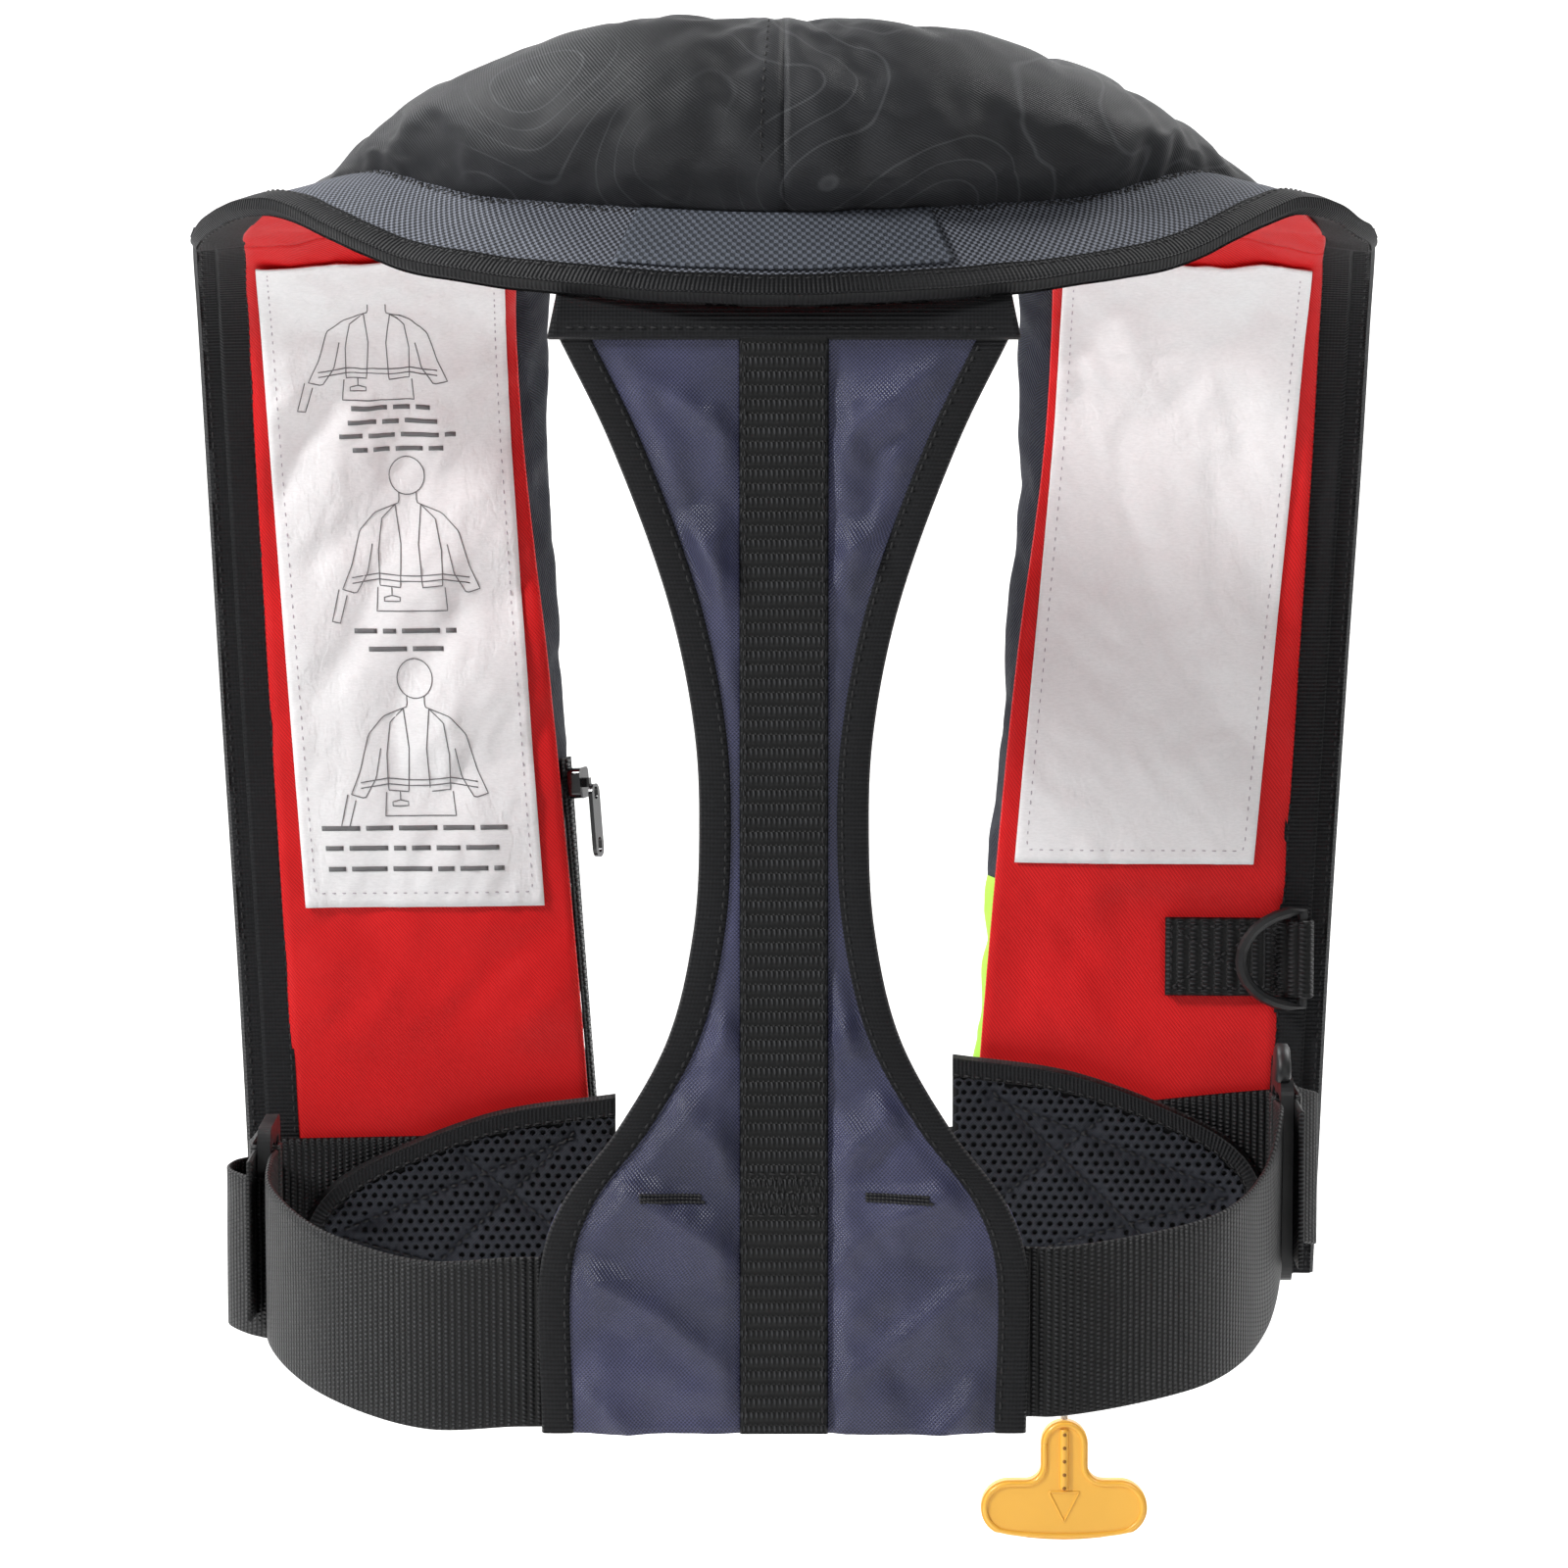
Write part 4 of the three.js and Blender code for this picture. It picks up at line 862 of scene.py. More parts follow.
def label_place(side, u, t):
    """Points on a label: u from its edge by the neck outwards and t from its foot to its top, both 0 to 1."""
    size = LABELS[side]
    low, high = (station_at(SIDES[side], size[z]) for z in ("low", "high"))
    fine = np.linspace(low, high, 200)
    middle = on_band(fine, np.full((200, 1), 50.0), 0)[:, 0]
    run = np.concatenate([[0], np.linalg.norm(np.diff(middle, axis=0), axis=1).cumsum()])
    ks = np.interp(np.asarray(t, float) * run[-1], run, fine)
    w = stations(ks)[3]
    outer = backing_width(w, ks) - lerp(size["inset_low"], size["inset_high"], np.asarray(t, float))
    s = outer[:, None] - size["width"] * (1 - np.atleast_2d(u))
    return ks, s


def label_relief(ks, s):
    """The lining's folds under the film, with sharper creases where it folds over the shoulder."""
    points = on_band(ks, s, 0)
    top = smoothstep(points[..., 2], -75, -15)
    return lining_relief(ks, s) - (0.35 + 1.5 * top) * np.abs(rough(points, 22, 8))


for side in SIDES:
    t = np.linspace(0, 1, 90)
    u = np.linspace(0, 1, 41)[None] * np.ones((90, 1))
    ks, s = label_place(side, u, t)
    lift = label_relief(ks, s)
    top = on_band(ks, s, LABEL_TOP + lift)
    bottom = on_band(ks, s, LABEL_TOP - LABEL_THICK + lift)
    film = slab(f"label_film_{side}", (top, bottom), cloth_grid(top))
    dress(film, MATERIALS["label_film"], f"label_{side}")


def on_label(side, u, t, proud=0.12):
    """A line on the label's face through places (u, t), with its outward directions."""
    u, t = np.asarray(u, float), np.asarray(t, float)
    ks, s = label_place(side, u[:, None], t)
    v = LABEL_TOP - LABEL_THICK - proud + label_relief(ks, s)
    return on_band(ks, s, v)[:, 0], -stations(ks)[2]


def resampled(corners, count):
    corners = np.asarray(corners, float)
    run = np.concatenate([[0], np.linalg.norm(np.diff(corners, axis=0), axis=1).cumsum()])
    at = np.linspace(0, run[-1], count)
    return np.stack([np.interp(at, run, corners[:, i]) for i in range(corners.shape[1])], axis=-1)


for side in SIDES:
    edge = 0.045
    corners = [(edge, 0.985), (edge, 0.02), (1 - edge, 0.02), (1 - edge, 0.985)]
    path = resampled(corners, 150)
    run = on_label(side, *path.T, 0.0)
    thread(f"label_stitches_{side}", [run], "pale_thread", "label_film", radius=0.2, length=1.5, pitch=3.3)


def edge_wave(size, seed):
    return lambda ks, s: size * rough(on_band(ks, s, 0), 24, seed)


def tape(name, start, end, span, faces, node, crown=0.8, wave=0.35, columns=8):
    ks = band_rows(start, end, 2.5)
    obj = band_slab(name, ks, span, *faces, columns, edge_wave(wave, 11), crown)
    return dress(obj, MATERIALS["binding_tape"], node)


chest = {"right": (0.0, SHOULDER), "left": (LEFT_SHOULDER, LAST)}
for side, (start, end) in chest.items():
    tape(
        f"edge_tape_{side}", start, end,
        lambda w, k: (w - strip_width(k), w - strip_width(k) / 2 + TUCK),
        (-TAPE_FOLD, 1.6), f"edge_binding_{side}", crown=0.5,
    )
    tape(
        f"closure_tape_{side}", start, end,
        lambda w, k: (w - strip_width(k) / 2, w), (0.4, 5), f"closure_flap_{side}",
    )
collar_tape = tape(
    "collar_tape", SHOULDER, LEFT_SHOULDER,
    lambda w, k: (w - strip_width(k), w), (-TAPE_FOLD, 3), "collar_binding", crown=1.0, wave=0.9, columns=12,
)

# ---- Woven trim and the plain patch at the back of the neck ----
TRIM_START = 16 * STEP
PATCH_HALF = 0.48  # stations
trim_ks = band_rows(TRIM_START, LAST - TRIM_START, 2.5)
trim = band_slab(
    "collar_weave", trim_ks,
    lambda w, k: (cover_width(w, k) - 1.0, w - strip_width(k) + TUCK),
    0.0, TRIM_THICK, 12, edge_wave(0.5, 11), 0.3,
)
dress(trim, MATERIALS["woven_trim"], "collar_trim")
patch_ks = np.linspace(CENTRE - PATCH_HALF, CENTRE + PATCH_HALF, 60)
patch = band_slab(
    "collar_patch_weave", patch_ks,
    lambda w, k: (cover_width(w, k) + 1, w - strip_width(k) - 1),
    TRIM_THICK + LOOSE_GAP, TRIM_THICK + 1.5, 12, edge_wave(0.5, 11), 0.2,
)
dress(patch, MATERIALS["woven_patch"], "collar_patch")


# ---- Yoke ----
YOKE_OUTLINE = [
    (-26, 64),
    (-56, 49.6),
    (-103, 32.8),
    (-140, 25.6),
    (-168, 24.4),
    (-196, 26),
    (-227, 33.2),
    (-253, 47.5),
    (-275, 64),
    (-292, 70),
    (-342, 70),
]
YOKE_BACK = -105
YOKE_HOLLOW = 7
SLEEVE_TOP = -276
yoke_curve = through(YOKE_OUTLINE, np.linspace(0, 1, 160), centripetal=True)
YOKE_Z, YOKE_HALF = yoke_curve[:, 0], yoke_curve[:, 1]


def yoke_y(z):
    share = (z - YOKE_OUTLINE[0][0]) / (YOKE_OUTLINE[-1][0] - YOKE_OUTLINE[0][0])
    return YOKE_BACK + YOKE_HOLLOW * np.sin(np.pi * np.minimum(share * 1.25, 1))


def yoke_half(z):
    return np.interp(-z, -YOKE_Z, YOKE_HALF)


def yoke_slab(name, z, edges, y0, y1, columns, relief=None, crown=0.0):
    """A flat piece of the yoke: edges(half) gives its sides, y0 and y1 its outer and inner faces."""
    low, high = edges(yoke_half(z))
    low, high = np.broadcast_to(low, z.shape), np.broadcast_to(high, z.shape)
    u = np.linspace(0, 1, columns + 1)
    x = low[:, None] + (high - low)[:, None] * u
    zz = np.broadcast_to(z[:, None], x.shape)
    y = np.broadcast_to(yoke_y(z)[:, None], x.shape)
    lift = relief(x, zz) if relief else 0
    swell = crown * np.sin(np.pi * u) ** 0.7
    outer = np.stack([x, y + y0 - lift - swell, zz], axis=-1)
    inner_face = np.stack([x, y + y1 - lift, zz], axis=-1)
    return slab(name, (outer, inner_face), cloth_grid(outer))


def yoke_relief(x, z):
    """Soft diagonal folds that run down to the strap, and puckers beside it."""
    points = np.stack([x, z * 0, z], axis=-1)
    away = smoothstep(np.abs(x), STRAP_WIDTH / 2 - 1, STRAP_WIDTH / 2 + 7)
    edge = smoothstep(yoke_half(z) - np.abs(x), YOKE_BINDING - 0.5, YOKE_BINDING + 7)
    drift = z - 0.75 * np.abs(x) + 9 * rough(points, 60, 21)
    ridge = 1 - np.abs(np.sin(np.pi * drift / 34))
    folds = 3.6 * ridge**1.6 + 4.0 * np.abs(rough(points, 30, 22)) + 1.2 * np.abs(rough(points, 12, 23))
    near = smoothstep(26 - np.abs(x), 0, 12)
    puckers = 1.3 * near * (0.5 + 0.5 * np.sin(2 * np.pi * (z + 0.5 * np.abs(x)) / 13))
    return (folds + puckers) * away * edge * smoothstep(-z, 26, 48)


yoke_rows = np.linspace(YOKE_Z[0] + 6, YOKE_Z[-1], 150)
inside = YOKE_BINDING - TUCK
across = lambda half: (inside - half, half - inside)
panel_cloth = yoke_slab("yoke_cloth", yoke_rows, across, 0, YOKE_THICK, 56, yoke_relief)
dress(panel_cloth, MATERIALS["coated_nylon"], "yoke_panel")
half_strap = STRAP_WIDTH / 2
strap = yoke_slab(
    "back_strap_web", yoke_rows, lambda h: (-half_strap, half_strap), -GAP - WEB_THICK, -GAP, 20,
    lambda x, z: 0.25 * rough(np.stack([x, z * 0, z], axis=-1), 30, 31),
)
dress(strap, MATERIALS["strap_webbing"], "back_strap")
for side, way in SIDES.items():
    edges = (lambda h: (h - YOKE_BINDING, h)) if way > 0 else (lambda h: (-h, YOKE_BINDING - h))
    bound = yoke_slab(f"yoke_tape_{side}", yoke_rows, edges, -0.6, YOKE_THICK + 0.4, 10, None, 0.5)
    dress(bound, MATERIALS["binding_tape"], f"yoke_binding_{side}")
behind = YOKE_THICK + 0.4 + 3 * GAP + WEB_THICK
sleeve_rows = np.linspace(SLEEVE_TOP, YOKE_Z[-1], 30)
sleeve = yoke_slab("sleeve_cloth", sleeve_rows, lambda h: (-h, h), behind, behind + YOKE_THICK, 50)
dress(sleeve, MATERIALS["coated_nylon"], "belt_sleeve")

# The yoke's head, folded up under the collar's edge.
HEAD_LINE = [(YOKE_BACK - 2.6, -26), (YOKE_BACK - 2.2, -19), (YOKE_BACK + 8, -10)]
HEAD_THICK = 1.6
HEAD_STITCH_Z = -23.5
head_line = through(HEAD_LINE, np.linspace(0, 1, 14))
u = np.linspace(-1, 1, 61)[None]
head_half = lerp(67, 64, np.linspace(0, 1, 14))[:, None]
head_x = head_half * u
wavy = 0.9 * rough(np.stack([head_x, head_x * 0, head_x * 0], axis=-1), 30, 33)
head_outer = np.stack(
    [head_x, head_line[:, :1] + wavy, np.broadcast_to(head_line[:, 1:], head_x.shape)], axis=-1
)
head_inner = head_outer + [0, HEAD_THICK, -1]
head = slab("yoke_head_tape", (head_outer, head_inner), cloth_grid(head_outer))
dress(head, MATERIALS["binding_tape"], "yoke_head")


# ---- Webbing ----
def ribbon(name, path, width, material, node, steps, centripetal=True, ripple=0.15, columns=14):
    """Webbing on edge along a path of centre points, its width upright."""
    line = through(path, np.linspace(0, 1, steps), centripetal)
    way = np.gradient(line, axis=0)
    way[:, 2] = 0
    way = unit(way)
    out = np.stack([way[:, 1], -way[:, 0], way[:, 0] * 0], axis=-1)
    rise = np.linspace(-0.5, 0.5, columns + 1)[None, :, None] * width * np.array([0, 0, 1.0])
    middle = line[:, None] + rise
    lift = ripple * rough(middle, 28, 41)[..., None]
    faces = [middle + out[:, None] * (sign * WEB_THICK / 2 + lift) for sign in (1, -1)]
    obj = slab(name, faces, cloth_grid(faces[0]))
    return dress(obj, MATERIALS[material], node)


ADJUSTER = {"long": 34, "thick": 4, "bar": 5}
ADJUSTERS = {"right": (156, 34, -291), "left": (-161, 30, -306)}
FRONT_Z = {"right": -312, "left": -314}
BUCKLE_Y = 97
BUCKLE_FROM, BUCKLE_SOCKET, BUCKLE_PLUG = -48, 44, 27
PLUG_FROM = BUCKLE_FROM + BUCKLE_SOCKET + 2 * GAP
BELT_Y = YOKE_BACK + YOKE_THICK + 0.4 + 2 * GAP + WEB_THICK / 2


def round_bar(place, side, dy, start, way):
    """Plan points round one of an adjuster's bars."""
    x, y = ADJUSTER["thick"] / 2, ADJUSTER["bar"] / 2
    r = GAP + WEB_THICK / 2
    turn = [
        (start * (x + r), 0),
        (start * (x + r), way * y),
        (start * (x + r * 0.71), way * (y + r * 0.71)),
        (start * x, way * (y + r)),
        (0, way * (y + r)),
        (-start * x, way * (y + r)),
        (-start * (x + r * 0.71), way * (y + r * 0.71)),
        (-start * (x + r), way * y),
        (-start * (x + r), 0),
    ]
    return [(place[0] + side * px, place[1] + dy + py, place[2]) for px, py in turn]


PITCH = (ADJUSTER["long"] - ADJUSTER["bar"]) / 2
FACE = ADJUSTER["thick"] / 2 + GAP + WEB_THICK / 2


def belt_end(side_name):
    side, (x, y, z) = SIDES[side_name], ADJUSTERS[side_name]
    return [
        (x - side * FACE, y - PITCH - 14, z),
        *round_bar((x, y, z), side, -PITCH, -1, 1),
        (x + side * FACE, y - PITCH - 18, z),
    ]


belt_path = [
    *reversed(belt_end("left")),
    (-156, -20, -310),
    (-136, -62, -316),
    (-104, -92, -319),
    (-78, BELT_Y - 0.3, BELT_DROP - 1),
    (-70, BELT_Y, BELT_DROP - 1),
    (70, BELT_Y, BELT_DROP + 2),
    (78, BELT_Y - 0.3, BELT_DROP + 2),
    (100, -92, -312),
    (128, -66, -310),
    (146, -24, -304),
    *belt_end("right"),
]
ribbon("belt_web", belt_path, BELT_WIDTH, "webbing", "waist_belt", 420)

LOBE_WEB_Z = {"right": -299, "left": -315}
for side, way in SIDES.items():
    ax, ay, az = ADJUSTERS[side]
    k = 0.0 if way > 0 else float(LAST)
    width = stations(k)[3][0]
    off = BODY_FACE - 3 * GAP - WEB_THICK / 2

    def lobe(s, height):
        x, y, _ = on_band([k], [[s]], off)[0, 0]
        return x, y, height

    load = FACE + GAP + WEB_THICK
    z = LOBE_WEB_Z[side]
    joint = lobe(width + 1, z)
    path = [
        (ax + way * FACE, ay + PITCH + 14, az),
        (ax + way * FACE, ay + PITCH, az),
        *round_bar((ax, ay, az), way, 0, 1, 1)[1:],
        (ax - way * FACE, ay - ADJUSTER["bar"] / 2, az),
        *round_bar((ax, ay, az), way, 0, -1, -1)[2:6],
        (ax + way * (load - 0.6), ay - 3.2, az),
        (ax + way * load, ay - 2, az),
        (ax + way * load, ay + 6, az),
        (ax + way * load, ay + PITCH + 16, az),
        (ax + way * (load + 3), 72, (az + z) / 2),
        (joint[0] - way * 1.5, joint[1] - 4, z),
        lobe(width - 8, z),
        lobe(width - 14, z),
        lobe(40, (z + FRONT_Z[side]) / 2),
        lobe(0, FRONT_Z[side]),
    ]
    ribbon(f"front_web_{side}", path, BELT_WIDTH, "webbing", f"front_strap_{side}", 260, ripple=0.0)
    start = lobe(0, FRONT_Z[side])
    end = PLUG_FROM + BUCKLE_PLUG + GAP if way > 0 else BUCKLE_FROM - GAP
    lead = [(start[0] - way * GAP, start[1], start[2]), (end, BUCKLE_Y, FRONT_Z["left"])]
    sewn_straight = {"centripetal": False, "ripple": 0.0}
    web = ribbon(
        f"buckle_web_{side}", lead, BELT_WIDTH, "webbing", f"buckle_lead_{side}", 40, **sewn_straight
    )
    if way > 0:  # the right lead gets a mesh of its own
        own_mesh(web)

# ---- Foot panels, which close the lobes' feet ----
EYELET_RADIUS = 5
FOOT_STATION = {"right": 0.0, "left": float(LAST)}
FOOT_DROP = 0.8  # below the lobe's foot, at the panel's edge
FOOT_SAG = 2.2


def foot_panel(side):
    """A quilted lens from the lobe's backing to its front. The right one has an opening for the lanyard."""
    rows, columns = 25, 61
    k = FOOT_STATION[side]
    width = float(stations(k)[3][0])
    u = np.linspace(0, 1, columns)
    t = np.linspace(0, 1, rows)[:, None]
    across = np.cos(np.pi * (1 - u))
    s = lerp(-float(bulge(k)), float(cover_width(width, k)), (1 + across) / 2)
    arch = np.sqrt(np.maximum(1 - across**2, 0)) ** 0.8
    high = float(band_thick(k)) * (SIDE_SHARE + (1 - SIDE_SHARE) * arch)
    grid = on_band(np.full(rows, k), np.broadcast_to(s, (rows, columns)), lerp(BODY_FACE, high, t))
    middle = np.minimum(np.minimum(u, 1 - u) * 2, 1) * np.sin(np.pi * t)
    drop = FOOT_DROP + FOOT_SAG * middle**0.6 + 0.5 * rough(grid, 16, 51) * middle
    grid[..., 2] = grid[0, 0, 2] - drop
    faces = strip_faces(rows, columns)
    if side == "right":
        flat = grid.reshape(-1, 3)
        gone = np.hypot(flat[:, 0] - LANYARD_X, flat[:, 1] - LANYARD_Y) < EYELET_RADIUS + 0.8
        faces = [f for f in faces if not gone[f].any()]
    panel = new_mesh(f"foot_cloth_{side}", grid, faces, cloth_grid(grid))
    drop_loose(panel)
    modify(panel, "SOLIDIFY", thickness=1.2 * MM, offset=0)
    apply_modifiers(panel)
    dress(panel, MATERIALS["navy_fabric"], f"foot_panel_{side}")


for side in SIDES:
    foot_panel(side)

# ---- Mesh pads over the belt, on the lobes' feet ----
PADS = {"right": (-263, -331), "left": (-276, -344)}  # top and foot
PAD_START, PAD_REACH = -5, 97
PAD_FALL, PAD_CORNER, PAD_BINDING, PAD_THICK = 30, 16, 8, 3.4
PAD_FACE = -BODY_FACE + GAP + WEB_THICK + 3 * GAP
KNIT_THICK = 0.9
HEX = 3.3  # from hole to hole
HOLE_SHARE, CLOSED_SHARE = 0.52, 0.08
QUILT_DEPTH, QUILT_SPREAD, QUILT_CLOSED = 1.9, 2.6, 1.7


def pad_edge(top, foot, inset, count=80):
    """The pad's top and outer edge, drawn in by inset."""
    line = [
        (PAD_START, top - inset),
        (PAD_REACH * 0.35, top - PAD_FALL * 0.18 - inset),
        (PAD_REACH * 0.72, top - PAD_FALL * 0.62 - inset),
        (PAD_REACH - PAD_CORNER * 0.55 - inset * 0.5, top - PAD_FALL - inset * 0.8),
        (PAD_REACH - inset, top - PAD_FALL - PAD_CORNER),
        (PAD_REACH - inset, foot),
    ]
    return through(line, np.linspace(0, 1, count))


def on_pad(side, x, z, off):
    """Points on a lobe's foot: x from its inner edge, off from the pad's seat."""
    low, far = on_band([FOOT_STATION[side]], [[0, 100]], [[0, 0]])[0]
    across = unit((far - low) * [1, 1, 0])
    out = SIDES[side] * np.array([across[1], -across[0], 0])
    x, z, off = np.broadcast_arrays(*(np.asarray(a, float)[..., None] for a in (x, z, off)))
    return low * [1, 1, 0] + across * x + out * (PAD_FACE + off) + z * [0, 0, 1.0]


def away_from(x, z, lines):
    """Distance from places to the nearest of the straight lines."""
    near = np.full(np.shape(x), 1e9)
    for (ax, az), (bx, bz) in lines:
        wide, tall = bx - ax, bz - az
        t = np.clip(((x - ax) * wide + (z - az) * tall) / (wide**2 + tall**2), 0, 1)
        near = np.minimum(near, np.hypot(x - ax - t * wide, z - az - t * tall))
    return near


def knit_cells(top, foot, x, height, quilt):
    """Six-sided cells under the pad's top edge, each with a hole that is closed along the quilting."""
    verts, faces, seen = [], [], {}

    def corner(px, pz):
        key = (round(px, 2), round(pz, 2))
        if key not in seen:
            seen[key] = len(verts)
            verts.append(key)
        return seen[key]

    turn = np.arange(6) * np.pi / 3 + np.pi / 6
    ways = list(zip(np.cos(turn), np.sin(turn)))
    cell = HEX / math.sqrt(3)
    for row, pz in enumerate(np.arange(foot + 1.5, top, HEX * math.sqrt(3) / 2)):
        for px in np.arange((row % 2) * HEX / 2 - 2.9, PAD_REACH - 6, HEX):
            if pz >= np.interp(px, x, height) - cell:
                continue
            share = HOLE_SHARE if away_from(px, pz, quilt) > QUILT_CLOSED else CLOSED_SHARE
            outer = [corner(px + cell * c, pz + cell * s) for c, s in ways]
            hole = [corner(px + share * cell * c + 0.01, pz + share * cell * s) for c, s in ways]
            faces += [[outer[i], outer[i - 5], hole[i - 5], hole[i]] for i in range(6)]
    return np.array(verts), faces


def mesh_pad(side, top, foot):
    columns, rows = 70, 30
    x = np.linspace(PAD_START, PAD_REACH - 6, columns)
    height = np.interp(x, *pad_edge(top, foot, PAD_BINDING - TUCK, 300)[:260].T)
    quilt = [
        ((8, top - 12), (60, foot + 6)),
        ((84, top - 46), (22, foot + 4)),
        ((8, top - 14), (84, top - 44)),
        ((2, foot + 14), (44, top - 20)),
    ]

    def dip(x, z):
        return QUILT_DEPTH * np.exp(-((away_from(x, z, quilt) / QUILT_SPREAD) ** 2))

    z = lerp(foot, height[:, None], np.linspace(0, 1, rows)[None])
    xx = np.broadcast_to(x[:, None], z.shape)
    front = on_pad(side, xx, z, PAD_THICK - KNIT_THICK - dip(xx, z))
    # The base under the knit is near black: painted shade seen through the knit's holes.
    base = slab(f"pad_base_{side}", (front, on_pad(side, xx, z, 0)), np.stack([xx, z], axis=-1))
    dress(base, MATERIALS["spacer_shadow"], f"mesh_pad_{side}")

    places, faces = knit_cells(top, foot, x, height, quilt)
    on_face = on_pad(side, *places.T, PAD_THICK - dip(*places.T))
    knit = new_mesh(f"pad_knit_{side}", on_face, faces, places)
    modify(knit, "SOLIDIFY", thickness=KNIT_THICK * MM, offset=0)
    apply_modifiers(knit)
    dress(knit, MATERIALS["spacer_mesh"])
    facing = on_pad(side, 0, 0, 1) - on_pad(side, 0, 0, 0)
    lines = [resampled(ends, 40) for ends in quilt]
    out = np.broadcast_to(facing, (40, 3))
    runs = [(on_pad(side, *line.T, PAD_THICK - KNIT_THICK), out) for line in lines]
    thread(f"pad_quilting_{side}", runs, slot="spacer_mesh", radius=0.35)

    share = np.linspace(0, 1, 9)
    edges = np.stack([pad_edge(top, foot, PAD_BINDING * a, 90) for a in share], axis=1)
    wave = 0.25 * rough(np.concatenate([edges, edges[..., :1] * 0], axis=-1), 16, 61)
    crown = 0.7 * np.sin(np.pi * share) ** 0.6
    outer, inner = (
        on_pad(side, edges[..., 0], edges[..., 1], off) for off in (PAD_THICK + 0.2 + crown + wave, -0.3)
    )
    bound = slab(f"pad_tape_{side}", (outer, inner), cloth_grid(outer))
    dress(bound, MATERIALS["binding_tape"], f"pad_binding_{side}")
    line = pad_edge(top, foot, PAD_BINDING - 1.8, 160)
    out = np.broadcast_to(facing, (160, 3))
    thread(f"pad_stitches_{side}", [(laid(surface_of(bound), on_pad(side, *line.T, 2), out), out)])


for side, (top, foot) in PADS.items():
    mesh_pad(side, top, foot)

# ---- The ring's tab: webbing round the D-ring, sewn down as two layers ----
RING_S, RING_OFF, RING_Z, RING_ROUND = 100, 6.4, -231, 1.9
TAB_FROM, TAB_BEND = 56, 91  # where the tab starts and leaves the lobe, from the inner rail
TAB_STITCHED = (58, 88)
k_ring = station_at(1, RING_Z)


def beside_ring(s, v, z=RING_Z):
    x, y, _ = on_band([k_ring], [[s]], [[v]])[0, 0]
    return x, y, z


seat = -TAPE_FOLD - GAP
outer_layer, inner_layer = seat - 1.5 * WEB_THICK, seat - 0.5 * WEB_THICK
loop = RING_ROUND + GAP + WEB_THICK / 2
tab_path = [(s, outer_layer) for s in (TAB_FROM, 74, TAB_BEND)]
tab_path += [
    (RING_S + loop * math.cos(a), -RING_OFF + loop * math.sin(a))
    for a in np.linspace(-math.pi / 2, math.pi * 0.42, 9)
]
tab_path += [(RING_S - 4.6, inner_layer - 0.5), (TAB_BEND, inner_layer), (TAB_FROM, inner_layer)]
tab_line = [beside_ring(s, v) for s, v in tab_path]
tab_web = ribbon("ring_tab_web", tab_line, STRAP_WIDTH, "strap_webbing", "ring_tab", 120, ripple=0.05)
tab_tree = surface_of(tab_web)


def on_tab(corners, count):
    line = resampled(corners, count)
    out = np.repeat(-stations(k_ring)[2], count, axis=0)
    return laid(tab_tree, [beside_ring(s, -8, RING_Z + z) for s, z in line], out, 8), out


near, far = TAB_STITCHED
square = [(near, -10), (far, -10), (far, 10), (near, 10), (near, -10)]
cross = [(near, -10), (far, 10), (far, -10), (near, 10)]
zigzag = [(90 + 3 * (i % 2), -11 + 22 * i / 28) for i in range(29)]
runs = [on_tab(square, 120), on_tab(cross, 120), on_tab(zigzag, 160)]
thread("ring_tab_stitches", runs, slot="webbing", radius=0.38, length=2.2, pitch=2.7)

# ---- Zipper teeth on their tape ----
ZIP_TOP, ZIP_FOOT, ZIP_WIDE = -168, -316, 8
TOOTH_PITCH, TOOTH_TALL, TOOTH_WIDE = 1.3, 0.84, 3.0


def beside_zip(heights, up, off):
    """Places on the left cover's inner side: up along it from the body and off away from the cloth."""
    k = np.array([station_at(-1, float(z)) for z in heights])
    slope = np.stack([-bulge(k), SIDE_SHARE * band_thick(k)], axis=-1)
    way = unit(slope)
    s = slope[:, :1] / 2 + way[:, :1] * up - way[:, 1:] * off
    v = slope[:, 1:] / 2 + way[:, 1:] * up + way[:, :1] * off
    return on_band(k, s, v)


zip_rows = np.linspace(ZIP_TOP, ZIP_FOOT, 60)
up = np.linspace(-ZIP_WIDE / 2, ZIP_WIDE / 2, 9)[None]
face = beside_zip(zip_rows, up, LOOSE_GAP + 0.7 + 0.1 * np.cos(up * 2))
zip_tape = slab("zip_tape", (face, beside_zip(zip_rows, up, LOOSE_GAP)), cloth_grid(face))
dress(zip_tape, MATERIALS["binding_tape"], "zipper_chain")
BOX_FACES = [0, 1, 3, 2], [4, 6, 7, 5], [0, 4, 5, 1], [2, 3, 7, 6], [0, 2, 6, 4], [1, 5, 7, 3]
teeth, tooth_faces = [], []
for i, z in enumerate(np.arange(ZIP_TOP - 1, ZIP_FOOT + 1, -TOOTH_PITCH)):
    tooth_faces += [[len(teeth) + j for j in face] for face in BOX_FACES]
    ends = 0.35 * (-1) ** i + np.array([[-TOOTH_WIDE / 2, TOOTH_WIDE / 2]])
    for off in (0.5, 1.2):
        for rise in (TOOTH_TALL / 2, -TOOTH_TALL / 2):
            teeth += beside_zip([z + rise], ends, LOOSE_GAP + off)[0].tolist()
dress(new_mesh("zip_teeth", teeth, tooth_faces), MATERIALS["black_plastic"])


# ---- Stitching along the tapes ----
def sewn(name, piece, ks, place, body_side):
    """A line of stitches along a piece of the band. place(width, k) is its distance from the inner rail."""
    thread(name, [band_line(ks, place(stations(ks)[3], ks), 0, surface_of(piece), body_side)])


